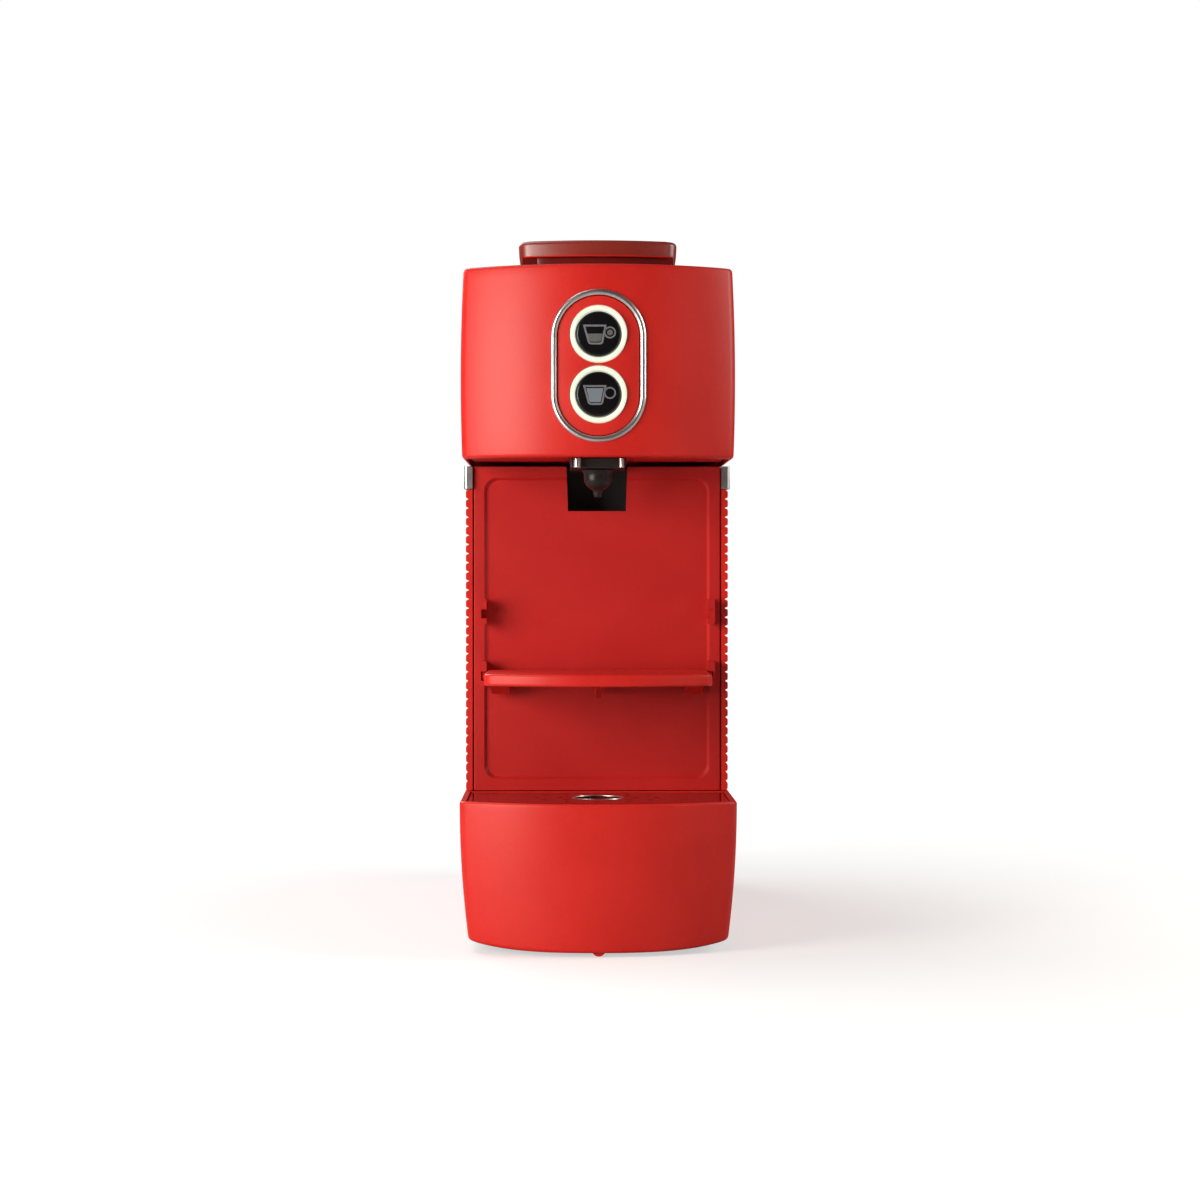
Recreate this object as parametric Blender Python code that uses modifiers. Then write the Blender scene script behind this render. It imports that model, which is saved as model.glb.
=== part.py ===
"""Narrow pod coffee machine, built as an assembly of separate named pieces.

Run it with  blender --background --python part.py  or from Blender's text editor.
Sizes below are in millimetres; the helpers turn them into Blender's metres. X runs to the
machine's right, -Y to its front and +Z up. The origin is on the table, under the middle of
the machine.
"""

import math

import bmesh
import bpy
from mathutils import Matrix, Vector

MM = 0.001
CLEARANCE = 0.3  # gap between pieces that touch on the real machine

# Overall size
HALF_WIDTH = 50.0
FRONT = -135.0
BACK = 135.0
FACE_RADIUS = 78.0  # plan radius of the bowed front faces

# Base and drip tray
BASE_TOP = 54.4
BASE_FLOOR_EDGE = 1.5  # lower edge of the tray's face, at the middle
BASE_EDGE_RISE = 2.6  # how much higher that edge is at the sides
BASE_TILT = 0.6  # the tray's face leans back this many times as far as the sides lean in
BASE_BULGE_RADIUS = 440.0
TRAY_BACK = -70.6
TRAY_INNER_FLOOR = 9.6
TRAY_UNDERSIDE = 7.0
HOUSING_FRONT = -70.0
HOUSING_BACK = 134.0
HOUSING_WALL = 2.5
FLOOR_PLATE = (4.8, 6.6)
FOOT_RADIUS = 7.0
FOOT_PLACES = ((-33.0, -82.0), (33.0, -82.0), (-33.0, 112.0), (33.0, 112.0))
GRID = (51.9, 54.1)
GRID_HOLE_RADIUS = 9.6

# Body between base and head
PANEL_FRONT = -69.0
PANEL_TOP = 176.7
PANEL_HALF = 46.6
BODY_BACK = 66.0
SIDE_INNER = 46.9
SIDE_FRONT = -69.4
RIB_VALLEY = 48.3
RIB_CREST = 49.4
RIB_COUNT = 33
RIBS_TOP = 168.0
BAND = (168.3, 176.8)

# Cup shelf and the ears that hold it
SHELF = (95.8, 100.2)
SHELF_HALF = 41.2
SHELF_FRONT = -130.0
EAR_X = (41.5, 44.2)
EAR_FRONT = -76.0
EAR_HEIGHT = 9.6
EAR_BOTTOMS = (94.0, 117.3)

# Head
HEAD_FRONT = -124.0
HEAD_BOTTOM = 178.0
HEAD_TOP = 247.5
HEAD_WALL = 2.5
HEAD_BULGE_Z = 207.0
HEAD_BULGE_RADIUS = 800.0
HEAD_FLOOR = (178.6, 181.0)
FACE_TILT = 1.5  # the face leans back this many times as far as the sides lean in

# Buttons
BUTTON_Z = (200.2, 221.8)
PANEL_Z = 211.0
OVAL_STRAIGHT = 10.6  # half the straight length of the oval bezel
BEZEL_MIDDLE = 15.75
BEZEL_WIRE = 1.15
FASCIA_RADIUS = 14.3
LIGHT_RING = (8.4, 10.6)
BUTTON_RADIUS = 8.1
BUTTON_FACE = -123.5
BUTTON_TRAVEL = 1.2

# Brewing group and lever
POD_Y = -66.0
POD_BORE = 24.0
SPOUT_Y = -97.0
LEVER_HALF = 29.0
LEVER_FRONT = -104.0
LEVER_BOTTOM = 248.2
LEVER_TOP = 258.0
LIP_BOTTOM = 252.5
HINGE_Y = 48.0
HINGE_Z = 253.0
KNUCKLE_RADIUS = 5.0
KNUCKLE_HALF = 21.7
PIN_RADIUS = 2.0

# Water tank
TANK_FRONT = 66.6
TANK_HALF = 49.4
TANK_CORNER = 20.0
TANK = (54.9, 244.6)
TANK_WALL = 2.0
TANK_FLOOR = (60.5, 62.5)
LID = (244.9, 247.5)
VALVE_Y = 98.0
ROCKER_PIVOT = (130.0, 28.0)


# ---------------------------------------------------------------- scene and materials


def clear_scene():
    for obj in list(bpy.data.objects):
        bpy.data.objects.remove(obj)


def make_collection(name):
    made = bpy.data.collections.new(name)
    bpy.context.scene.collection.children.link(made)
    return made


def make_material(name, colour, roughness, metallic=0.0, alpha=1.0):
    made = bpy.data.materials.new(name)
    made.use_nodes = True
    shader = made.node_tree.nodes["Principled BSDF"]
    shader.inputs["Base Color"].default_value = (*colour, 1.0)
    shader.inputs["Roughness"].default_value = roughness
    shader.inputs["Metallic"].default_value = metallic
    shader.inputs["Alpha"].default_value = alpha
    return made


clear_scene()
MACHINE = make_collection("pod_coffee_machine")
CUTTERS = make_collection("cutters")

RED = make_material("red_satin_plastic", (0.72, 0.035, 0.025), 0.42)
RED_GLOSS = make_material("red_gloss_plastic", (0.50, 0.02, 0.018), 0.18)
BLACK = make_material("black_plastic", (0.012, 0.010, 0.010), 0.45)
CHROME = make_material("chrome", (0.80, 0.80, 0.82), 0.12, metallic=1.0)
STEEL = make_material("steel", (0.55, 0.55, 0.56), 0.32, metallic=1.0)
BRASS = make_material("brass", (0.72, 0.50, 0.20), 0.30, metallic=1.0)
ALUMINIUM = make_material("aluminium", (0.62, 0.63, 0.65), 0.38, metallic=1.0)
LIGHT = make_material("light_guide", (0.92, 0.95, 0.86), 0.35)
RUBBER = make_material("rubber", (0.02, 0.02, 0.02), 0.80)
SILICONE = make_material("silicone", (0.80, 0.80, 0.78), 0.40)
SMOKED = make_material("smoked_tank", (0.30, 0.03, 0.03), 0.12, alpha=0.55)
BOARD = make_material("circuit_board", (0.02, 0.16, 0.07), 0.50)
COIL = make_material("pump_coil", (0.10, 0.10, 0.12), 0.55)


# ---------------------------------------------------------------- outlines


def arc(centre, radius, start, end, steps):
    """Points along an arc, both ends included. Angles are in radians, anticlockwise."""
    points = []
    for i in range(steps + 1):
        angle = start + (end - start) * i / steps
        points.append((centre[0] + radius * math.cos(angle), centre[1] + radius * math.sin(angle)))
    return points


def bowed_outline(half, front, back, corner, rear_corner=0.0, bow=FACE_RADIUS, steps=14):
    """Plan outline with a bowed front, rounded front corners and straight sides."""
    corner_x = half - corner
    bow_y = front + bow
    corner_y = bow_y - math.sqrt((bow - corner) ** 2 - corner_x**2)
    meet = math.atan2(corner_y - bow_y, corner_x)
    points = arc((-corner_x, corner_y), corner, -math.pi, -math.pi - meet, 3)
    points += arc((0.0, bow_y), bow, -math.pi - meet, meet, steps)[1:]
    points += arc((corner_x, corner_y), corner, meet, 0.0, 3)[1:]
    if rear_corner:
        points += arc((half - rear_corner, back - rear_corner), rear_corner, 0.0, math.pi / 2, 5)
        points += arc((rear_corner - half, back - rear_corner), rear_corner, math.pi / 2, math.pi, 5)
    else:
        points += [(half, back), (-half, back)]
    return points


def rounded_box_outline(x, y, corner, steps=4):
    """Rectangle from x[0] to x[1] and y[0] to y[1] with equal rounded corners."""
    quarter = math.pi / 2
    points = arc((x[1] - corner, y[0] + corner), corner, -quarter, 0.0, steps)
    points += arc((x[1] - corner, y[1] - corner), corner, 0.0, quarter, steps)
    points += arc((x[0] + corner, y[1] - corner), corner, quarter, 2 * quarter, steps)
    points += arc((x[0] + corner, y[0] + corner), corner, 2 * quarter, 3 * quarter, steps)
    return points


def stadium_outline(radius, straight, middle, steps=12):
    """Upright oval: two half circles joined by straight sides, centred on x = 0."""
    points = arc((0.0, middle - straight), radius, -math.pi, 0.0, steps)
    points += arc((0.0, middle + straight), radius, 0.0, math.pi, steps)
    return points


def head_inset(z):
    return (z - HEAD_BULGE_Z) ** 2 / (2 * HEAD_BULGE_RADIUS)


def base_inset(z):
    return (BASE_TOP - z) ** 2 / (2 * BASE_BULGE_RADIUS)


def face_y(x, z, sink=0.0):
    """Depth of the head's bowed face at x and z, sunk inwards by sink."""
    bow = FACE_RADIUS - sink
    return HEAD_FRONT + FACE_TILT * head_inset(z) + sink + bow - math.sqrt(bow**2 - x**2)


def base_edge(x):
    """Height of the base's lower edge at x: it rises towards the sides."""
    return BASE_FLOOR_EDGE + BASE_EDGE_RISE * (x / HALF_WIDTH) ** 4


# ---------------------------------------------------------------- shapes


def new_object(name, mesh, material):
    obj = bpy.data.objects.new(name, mesh)
    MACHINE.objects.link(obj)
    mesh.materials.clear()
    mesh.materials.append(material)
    return obj


def object_from(name, shape, material):
    mesh = bpy.data.meshes.new(name)
    shape.to_mesh(mesh)
    shape.free()
    return new_object(name, mesh, material)


def smooth(obj, degrees=40.0):
    obj.data.shade_smooth()
    obj.data.set_sharp_from_angle(angle=math.radians(degrees))
    return obj


def box(name, x, y, z, material):
    """A block between two values on each axis."""
    shape = bmesh.new()
    bmesh.ops.create_cube(shape, size=1.0)
    size = Vector((x[1] - x[0], y[1] - y[0], z[1] - z[0])) * MM
    middle = Vector((x[0] + x[1], y[0] + y[1], z[0] + z[1])) * (MM / 2)
    shape.transform(Matrix.Translation(middle) @ Matrix.Diagonal((*size, 1.0)))
    return object_from(name, shape, material)


def rod(name, start, end, radius, material, end_radius=None, sides=20):
    """A cylinder, or a cone if end_radius is given, between two points."""
    start, end = Vector(start) * MM, Vector(end) * MM
    along = end - start
    shape = bmesh.new()
    bmesh.ops.create_cone(
        shape,
        cap_ends=True,
        segments=sides,
        radius1=radius * MM,
        radius2=(radius if end_radius is None else end_radius) * MM,
        depth=along.length,
    )
    turn = along.to_track_quat("Z", "Y").to_matrix().to_4x4()
    shape.transform(Matrix.Translation((start + end) / 2) @ turn)
    return smooth(object_from(name, shape, material))


AXIS_TURNS = {
    "Z": Matrix.Identity(4),
    "Y": Matrix(((1, 0, 0, 0), (0, 0, -1, 0), (0, 1, 0, 0), (0, 0, 0, 1))),
    "X": Matrix(((0, 0, 1, 0), (1, 0, 0, 0), (0, 1, 0, 0), (0, 0, 0, 1))),
}


def prism(name, outline, low, high, material, along="Z"):
    """A flat outline given thickness. The outline is (x, y), (x, z) or (y, z) along Z, Y or X."""
    if along == "Y":
        low, high = -high, -low
    curve = bpy.data.curves.new(name, "CURVE")
    curve.dimensions = "2D"
    curve.fill_mode = "BOTH"
    curve.extrude = (high - low) / 2 * MM
    spline = curve.splines.new("POLY")
    spline.points.add(len(outline) - 1)
    for point, place in zip(spline.points, outline):
        point.co = (place[0] * MM, place[1] * MM, 0.0, 1.0)
    spline.use_cyclic_u = True
    flat = bpy.data.objects.new(name + "_outline", curve)
    MACHINE.objects.link(flat)
    bpy.context.view_layer.update()
    evaluated = flat.evaluated_get(bpy.context.evaluated_depsgraph_get())
    mesh = bpy.data.meshes.new_from_object(evaluated)
    bpy.data.objects.remove(flat)
    shape = bmesh.new()
    shape.from_mesh(mesh)
    bmesh.ops.remove_doubles(shape, verts=shape.verts, dist=1e-6)
    shape.transform(AXIS_TURNS[along] @ Matrix.Translation((0, 0, (low + high) / 2 * MM)))
    shape.to_mesh(mesh)
    shape.free()
    mesh.name = name
    return new_object(name, mesh, material)


def loft(name, rings, material):
    """A closed solid through rings of points, bottom ring first, each anticlockwise from above."""
    shape = bmesh.new()
    levels = [[shape.verts.new(Vector(p) * MM) for p in ring] for ring in rings]
    count = len(levels[0])
    for lower, upper in zip(levels, levels[1:]):
        for i in range(count):
            j = (i + 1) % count
            shape.faces.new((lower[i], lower[j], upper[j], upper[i]))
    shape.faces.new(levels[0][::-1])
    shape.faces.new(levels[-1])
    return smooth(object_from(name, shape, material))


def turned(name, profile, centre, material, steps=24, along="Z"):
    """A lathe-turned solid. The profile is (radius, height) pairs, down the outside, up the inside."""
    mesh = bpy.data.meshes.new(name)
    points = [(r * MM, 0.0, h * MM) for r, h in profile]
    edges = [(i, i + 1) for i in range(len(points) - 1)]
    if profile[0][0] > 0 and profile[-1][0] > 0:
        edges.append((len(points) - 1, 0))
    mesh.from_pydata(points, edges, [])
    obj = new_object(name, mesh, material)
    screw = obj.modifiers.new("turn", "SCREW")
    screw.steps = screw.render_steps = steps
    screw.use_merge_vertices = True
    screw.merge_threshold = 0.00001
    screw.use_smooth_shade = True
    obj.location = Vector(centre) * MM
    if along == "Y":
        obj.rotation_euler = (math.pi / 2, 0, 0)
    return obj


def smooth_route(points, per_span=6):
    """A Catmull-Rom curve through the given points."""
    route = []
    padded = [points[0], *points, points[-1]]
    for a, b, c, d in zip(padded, padded[1:], padded[2:], padded[3:]):
        a, b, c, d = Vector(a), Vector(b), Vector(c), Vector(d)
        for i in range(per_span):
            t = i / per_span
            route.append(
                0.5
                * (
                    2 * b
                    + (c - a) * t
                    + (2 * a - 5 * b + 4 * c - d) * t**2
                    + (3 * b - a - 3 * c + d) * t**3
                )
            )
    route.append(Vector(points[-1]))
    return route


def tube(name, route, radius, material, cyclic=False):
    """A hose or wire along a route."""
    curve = bpy.data.curves.new(name, "CURVE")
    curve.dimensions = "3D"
    curve.bevel_depth = radius * MM
    curve.bevel_resolution = 2
    curve.use_fill_caps = not cyclic
    spline = curve.splines.new("POLY")
    spline.points.add(len(route) - 1)
    for point, place in zip(spline.points, route):
        point.co = (*(Vector(place) * MM), 1.0)
    spline.use_cyclic_u = cyclic
    obj = bpy.data.objects.new(name, curve)
    curve.materials.append(material)
    MACHINE.objects.link(obj)
    return obj


def put_aside(tool):
    MACHINE.objects.unlink(tool)
    CUTTERS.objects.link(tool)
    tool.hide_render = True
    tool.display_type = "WIRE"


def combine(target, tool, operation):
    step = target.modifiers.new(tool.name, "BOOLEAN")
    step.operation = operation
    step.object = tool
    put_aside(tool)


def cut(target, *tools):
    for tool in tools:
        combine(target, tool, "DIFFERENCE")


def join(target, *tools):
    for tool in tools:
        combine(target, tool, "UNION")


def round_edges(obj, width, segments=2):
    step = obj.modifiers.new("rounding", "BEVEL")
    step.width = width * MM
    step.segments = segments
    step.limit_method = "ANGLE"
    step.angle_limit = math.radians(50)
    return obj


# ---------------------------------------------------------------- base and drip tray


def base_ring(height, inset, front, back, rear_corner=0.0, corner=6.0):
    """One ring of the base's outside. height runs from 0 at the lower edge to 1 at the top."""
    z = BASE_FLOOR_EDGE + height * (BASE_TOP - BASE_FLOOR_EDGE)
    lean = base_inset(z) + inset
    outline = bowed_outline(
        HALF_WIDTH - lean, front + BASE_TILT * lean, back, corner, rear_corner
    )
    return [(x, y, base_edge(x) + height * (BASE_TOP - base_edge(x))) for x, y in outline]


# Heights up the base's side, and how far each is drawn in to round the edges
BASE_LEVELS = (
    (0.0, 1.0), (0.01, 0.4), (0.03, 0.1), (0.06, 0.0), (0.3, 0.0),
    (0.55, 0.0), (0.8, 0.0), (0.985, 0.0), (1.0, 0.7),
)


def make_drip_tray():
    rings = [base_ring(height, inset, FRONT, TRAY_BACK) for height, inset in BASE_LEVELS]
    tray = loft("drip_tray", rings, RED)
    nub = rod("tray_nub", (0, -131.6, 2.62), (0, -128.0, 2.62), 2.45, RED, sides=16)
    join(tray, nub)
    bowl_outline = bowed_outline(45.8, -131.0, TRAY_BACK - 3.2, 3.5, bow=74.0)
    bowl = prism("tray_bowl", bowl_outline, TRAY_INNER_FLOOR, 60, RED)
    seat_outline = bowed_outline(47.7, -132.6, TRAY_BACK - 1.6, 4.0, bow=75.6)
    seat = prism("tray_grid_seat", seat_outline, GRID[0] - CLEARANCE, 60, RED)
    underside_outline = bowed_outline(45.3, -125.8, TRAY_BACK + 3, 3.0, bow=70.0)
    underside = prism("tray_underside", underside_outline, -2, TRAY_UNDERSIDE, RED)
    cut(tray, bowl, seat, underside)
    return tray


def make_drip_grid():
    outline = bowed_outline(47.4, -132.2, TRAY_BACK - 1.9, 3.8, bow=75.2)
    grid = prism("drip_grid", outline, *GRID, RED_GLOSS)
    cut(grid, rod("grid_middle", (0, SPOUT_Y, 48), (0, SPOUT_Y, 58), GRID_HOLE_RADIUS, RED_GLOSS))
    for ring_radius, count in ((14.0, 10), (22.0, 12)):
        for i in range(count):
            angle = 2 * math.pi * i / count
            x = ring_radius * math.cos(angle)
            y = SPOUT_Y + ring_radius * math.sin(angle)
            cut(grid, rod(f"grid_hole_{count}_{i}", (x, y, 48), (x, y, 58), 1.2, RED_GLOSS, sides=6))
    return grid


def make_base_housing():
    rings = []
    for height, inset in BASE_LEVELS:
        z = BASE_FLOOR_EDGE + height * (BASE_TOP - BASE_FLOOR_EDGE)
        half = HALF_WIDTH - base_inset(z) - inset
        back = HOUSING_BACK - base_inset(z) - inset
        outline = rounded_back(half, HOUSING_FRONT, back, TANK_CORNER, steps=5)
        rings.append([(x, y, base_edge(x) + height * (BASE_TOP - base_edge(x))) for x, y in outline])
    housing = loft("base_housing", rings, RED)
    inner = 46.6
    hollow_outline = rounded_back(inner, HOUSING_FRONT + HOUSING_WALL, HOUSING_BACK - 4.0, 17.0)
    hollow = prism("housing_hollow", hollow_outline, -2, BASE_TOP - HOUSING_WALL, RED)
    cut(housing, hollow)
    cut(housing, box("plate_way", (-46.3, 46.3), (HOUSING_FRONT - 5, -60), (-5, FLOOR_PLATE[1] + 0.4), RED))
    cut(housing, rod("hose_way", (25, 50, 45), (25, 50, 60), 4.5, RED))
    cut(housing, rod("valve_way", (0, VALVE_Y, 45), (0, VALVE_Y, 60), 6.2, RED))
    cut(housing, box("inlet_window", (-33.2, -4.8), (120, 140), (17.8, 38.2), RED))
    cut(housing, box("switch_window", (11.8, 28.2), (120, 140), (16.8, 39.2), RED))
    return housing


def rounded_back(half, front, back, corner, steps=6):
    """Plan outline with square front corners and rounded rear ones."""
    points = [(-half, front), (half, front)]
    points += arc((half - corner, back - corner), corner, 0.0, math.pi / 2, steps)
    points += arc((corner - half, back - corner), corner, math.pi / 2, math.pi, steps)
    return points


def make_floor_plate():
    outline = bowed_outline(43.6, -124.2, 128.0, 3.0, rear_corner=17.0, bow=69.5, steps=8)
    plate = prism("floor_plate", outline, *FLOOR_PLATE, BLACK)
    for i in range(5):
        y = 10 + 12 * i
        cut(plate, box(f"vent_{i}", (-20, 20), (y, y + 4), (0, 8), BLACK))
    return plate


def make_feet():
    for place, (x, y) in zip(("front_left", "front_right", "rear_left", "rear_right"), FOOT_PLACES):
        foot = rod("foot_" + place, (x, y, 0), (x, y, FLOOR_PLATE[0] - CLEARANCE), FOOT_RADIUS, RUBBER)
        round_edges(foot, 0.6, 1)


# ---------------------------------------------------------------- body


def make_bay_panel():
    """The back wall of the cup bay, with its sunk field and the ears that take the shelf."""
    z = (BASE_TOP + CLEARANCE, PANEL_TOP)
    panel = box("bay_panel", (-PANEL_HALF, PANEL_HALF), (PANEL_FRONT, PANEL_FRONT + 3), z, RED)
    field_outline = rounded_box_outline((-42.5, 42.5), (58.8, 172.3), 5.0)
    field = prism("sunk_field", field_outline, PANEL_FRONT - 2, PANEL_FRONT + 1.2, RED, "Y")
    window_outline = [(-10.9, 160), (10.9, 160), (11.8, 185), (-11.8, 185)]
    window = prism("spout_window", window_outline, PANEL_FRONT - 5, PANEL_FRONT + 6, RED, "Y")
    cut(panel, field, window)
    for bottom in EAR_BOTTOMS:
        for side in (-1, 1):
            x = sorted((side * EAR_X[0], side * EAR_X[1]))
            ear_z = (bottom, bottom + EAR_HEIGHT)
            join(panel, box(f"ear_{bottom}_{side}", x, (EAR_FRONT, PANEL_FRONT + 2), ear_z, RED))
            groove_x = sorted((side * (EAR_X[0] - 1), side * (EAR_X[0] + 2.0)))
            groove_y = (EAR_FRONT - 1, PANEL_FRONT - 1.2)
            groove_z = (bottom + 2.3, bottom + 5.7)
            cut(panel, box(f"groove_{bottom}_{side}", groove_x, groove_y, groove_z, RED))
    return panel


def rib_profile():
    """Section of a side panel seen from the front, in x and z: flat inside, fluted outside."""
    bottom = BASE_TOP + CLEARANCE
    pitch = (RIBS_TOP - bottom) / RIB_COUNT
    points = [(SIDE_INNER, bottom), (RIB_VALLEY, bottom)]
    for i in range(RIB_COUNT):
        start = bottom + i * pitch
        points += [(RIB_CREST, start + 0.17 * pitch), (RIB_CREST, start + 0.83 * pitch)]
        points += [(RIB_VALLEY, start + pitch)]
    points += [(SIDE_INNER, RIBS_TOP)]
    return points


def make_side_panels():
    profile = rib_profile()
    right = prism("right_side_panel", profile, SIDE_FRONT, BODY_BACK, RED, "Y")
    mirrored = [(-x, z) for x, z in reversed(profile)]
    left = prism("left_side_panel", mirrored, SIDE_FRONT, BODY_BACK, RED, "Y")
    return left, right


def make_trim_bands():
    for name, side in (("left_trim_band", -1), ("right_trim_band", 1)):
        x = sorted((side * SIDE_INNER, side * HALF_WIDTH))
        band = box(name, x, (SIDE_FRONT - 1.2, BODY_BACK), BAND, CHROME)
        round_edges(band, 0.4, 1)


def make_rear_bulkhead():
    z = (BASE_TOP + CLEARANCE, HEAD_BOTTOM - CLEARANCE)
    wall = box("rear_bulkhead", (-PANEL_HALF, PANEL_HALF), (62.5, 65.5), z, BLACK)
    for i in range(4):
        cut(wall, box(f"bulkhead_slot_{i}", (-30, 30), (60, 68), (150 + 6 * i, 153 + 6 * i), BLACK))
    return wall


def make_spout_recess():
    """Black liner behind the window in the bay panel."""
    liner = box("spout_recess", (-13.5, 13.5), (-65.7, -48), (157.5, 176.4), BLACK)
    cut(liner, box("recess_hollow", (-11.9, 11.9), (-70, -49.6), (159.2, 180), BLACK))
    return liner


# ---------------------------------------------------------------- cup shelf


def make_cup_shelf():
    outline = bowed_outline(SHELF_HALF, SHELF_FRONT, PANEL_FRONT - 1.3, 5.0)
    shelf = prism("cup_shelf", outline, *SHELF, RED)
    round_edges(shelf, 0.8, 2)
    for side in (-1, 1):
        tongue_x = sorted((side * (SHELF_HALF - 2), side * (EAR_X[0] + 1.7)))
        tongue = box(f"tongue_{side}", tongue_x, (EAR_FRONT + 0.8, PANEL_FRONT - 1.6), (96.7, 99.3), RED)
        gusset_outline = [(-86, 96.4), (-71, 96.4), (-71, 91.2), (-74, 91.2)]
        gusset_x = sorted((side * 32.8, side * 39.6))
        gusset = prism(f"gusset_{side}", gusset_outline[::-1], *gusset_x, RED, "X")
        join(shelf, tongue, gusset)
    rib_outline = [(-122, 96.4), (-71, 96.4), (-71, 91.2), (-112, 91.2)]
    join(shelf, prism("shelf_rib", rib_outline[::-1], -0.9, 0.9, RED, "X"))
    return shelf


# ---------------------------------------------------------------- head


def head_ring(z, sink=0.0, bottom_round=0.0):
    lean = head_inset(z) + sink + bottom_round
    outline = bowed_outline(
        HALF_WIDTH - lean,
        HEAD_FRONT + FACE_TILT * head_inset(z) + sink + bottom_round,
        BODY_BACK - sink,
        6.0 - 0.8 * sink,
        bow=FACE_RADIUS - sink,
    )
    return [(x, y, z) for x, y in outline]


def make_head_shell():
    levels = (
        (178.0, 1.2), (179.2, 0.0), (190, 0.0), (201, 0.0), (213, 0.0),
        (225, 0.0), (236, 0.0), (246.4, 0.0), (247.5, 1.1),
    )
    shell = loft("head_shell", [head_ring(z, 0.0, inset) for z, inset in levels], RED)
    cavity = loft(
        "head_cavity",
        [head_ring(z, HEAD_WALL) for z in (170, 190, 210, 230, HEAD_TOP - HEAD_WALL)],
        RED,
    )
    oval = stadium_outline(BEZEL_MIDDLE + BEZEL_WIRE + 0.2, OVAL_STRAIGHT, PANEL_Z, 10)
    oval_hole = prism("oval_hole", oval, -130, -116, RED, "Y")
    pod_hole = rod("pod_hole", (0, POD_Y, 240), (0, POD_Y, 252), 25.6, RED, sides=32)
    catch_slot = box("catch_slot", (-3.6, 3.6), (-100.4, -94.0), (240, 252), RED)
    hose_hole = rod("hose_hole", (0, HINGE_Y, 240), (0, HINGE_Y, 252), 3.2, RED, sides=12)
    cut(shell, cavity, oval_hole, pod_hole, catch_slot, hose_hole)
    for side in (-1, 1):
        x = sorted((side * 21.7, side * 27.7))
        cut(shell, box(f"post_slot_{side}", x, (HINGE_Y - 5.4, HINGE_Y + 5.4), (240, 252), RED))
    return shell


def make_head_floor():
    outline = bowed_outline(46.4, -120.4, BODY_BACK - 3.0, 3.5, bow=74.5)
    floor = prism("head_floor", outline, *HEAD_FLOOR, RED)
    cut(floor, rod("outlet_way", (0, SPOUT_Y, 170), (0, SPOUT_Y, 190), 5.2, RED, sides=16))
    cut(floor, rod("water_way", (0, -14, 170), (0, -14, 190), 5.2, RED, sides=16))
    return floor


def curved_plate(name, half, z, sink, thickness, material):
    """A piece of the head's bowed face, as an open sheet thickened inwards."""
    columns, rows = 10, 5
    shape = bmesh.new()
    bmesh.ops.create_grid(shape, x_segments=columns, y_segments=rows, size=1.0)
    for vert in shape.verts:
        x = vert.co.x * half
        height = (z[0] + z[1]) / 2 + vert.co.y * (z[1] - z[0]) / 2
        vert.co = Vector((x, face_y(x, height, sink), height)) * MM
    plate = object_from(name, shape, material)
    wall = plate.modifiers.new("wall", "SOLIDIFY")
    wall.thickness = thickness * MM
    wall.offset = -1.0
    return plate


def make_button_fascia():
    plate = curved_plate("button_fascia", 20, (180, 242), 0.5, 2.2, RED)
    oval = stadium_outline(FASCIA_RADIUS, OVAL_STRAIGHT, PANEL_Z, 10)
    combine(plate, prism("fascia_outline", oval, -130, -116, RED, "Y"), "INTERSECT")
    for z in BUTTON_Z:
        seat_radius = LIGHT_RING[1] + CLEARANCE
        cut(plate, rod(f"ring_seat_{z}", (0, -130, z), (0, -116, z), seat_radius, RED, sides=24))
    return plate


def make_bezel():
    oval = stadium_outline(BEZEL_MIDDLE, OVAL_STRAIGHT, PANEL_Z, 14)
    route = [(x, face_y(x, z, 0.2), z) for x, z in oval]
    return tube("button_bezel", route, BEZEL_WIRE, CHROME, cyclic=True)


def make_buttons():
    board_z = (BUTTON_Z[0] - 13, BUTTON_Z[1] + 13)
    board = box("control_board", (-14, 14), (-114.3, -112.7), board_z, BOARD)
    names = (("long_cup_button", "lower_light_ring"), ("short_cup_button", "upper_light_ring"))
    for z, (button, ring) in zip(BUTTON_Z, names):
        inner, outer = LIGHT_RING
        ring_profile = [
            (outer - 0.5, 0.0), (outer, -0.6), (outer, -5.5),
            (inner, -5.5), (inner, -0.6), (inner + 0.5, 0.0),
        ]
        turned(ring, ring_profile, (0, BUTTON_FACE - 0.3, z), LIGHT, along="Y")
        cap_profile = [
            (0, 0.0), (7.4, -0.1), (BUTTON_RADIUS, -0.7), (BUTTON_RADIUS, -3.6),
            (2.4, -3.6), (2.4, -4.7), (0, -4.7),
        ]
        turned(button, cap_profile, (0, BUTTON_FACE, z), BLACK, along="Y")
        switch = box(f"tact_switch_{z}", (-3.0, 3.0), (-116.5, -113.5), (z - 3.0, z + 3.0), BOARD)
        plunger = rod(f"plunger_{z}", (0, -117.3, z), (0, -116, z), 1.6, BOARD, sides=12)
        join(board, switch, plunger)


# ---------------------------------------------------------------- brewing group


def make_pod_holder():
    outer = 26.5
    profile = [
        (POD_BORE + 1.0, 244.4), (outer, 244.4), (outer, 228.0), (12.0, 222.0), (3.0, 222.0),
        (3.0, 226.0), (21.0, 226.6), (21.0, 228.6), (POD_BORE, 228.6), (POD_BORE, 242.6),
    ]
    turned("pod_holder", profile, (0, POD_Y, 0), ALUMINIUM, steps=32)
    plate = rod("filter_plate", (0, POD_Y, 227.0), (0, POD_Y, 228.2), 20.6, STEEL, sides=28)
    for i in range(6):
        angle = math.pi * i / 3
        x, y = 11 * math.cos(angle), POD_Y + 11 * math.sin(angle)
        cut(plate, rod(f"filter_hole_{i}", (x, y, 225), (x, y, 230), 1.5, STEEL, sides=6))


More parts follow.
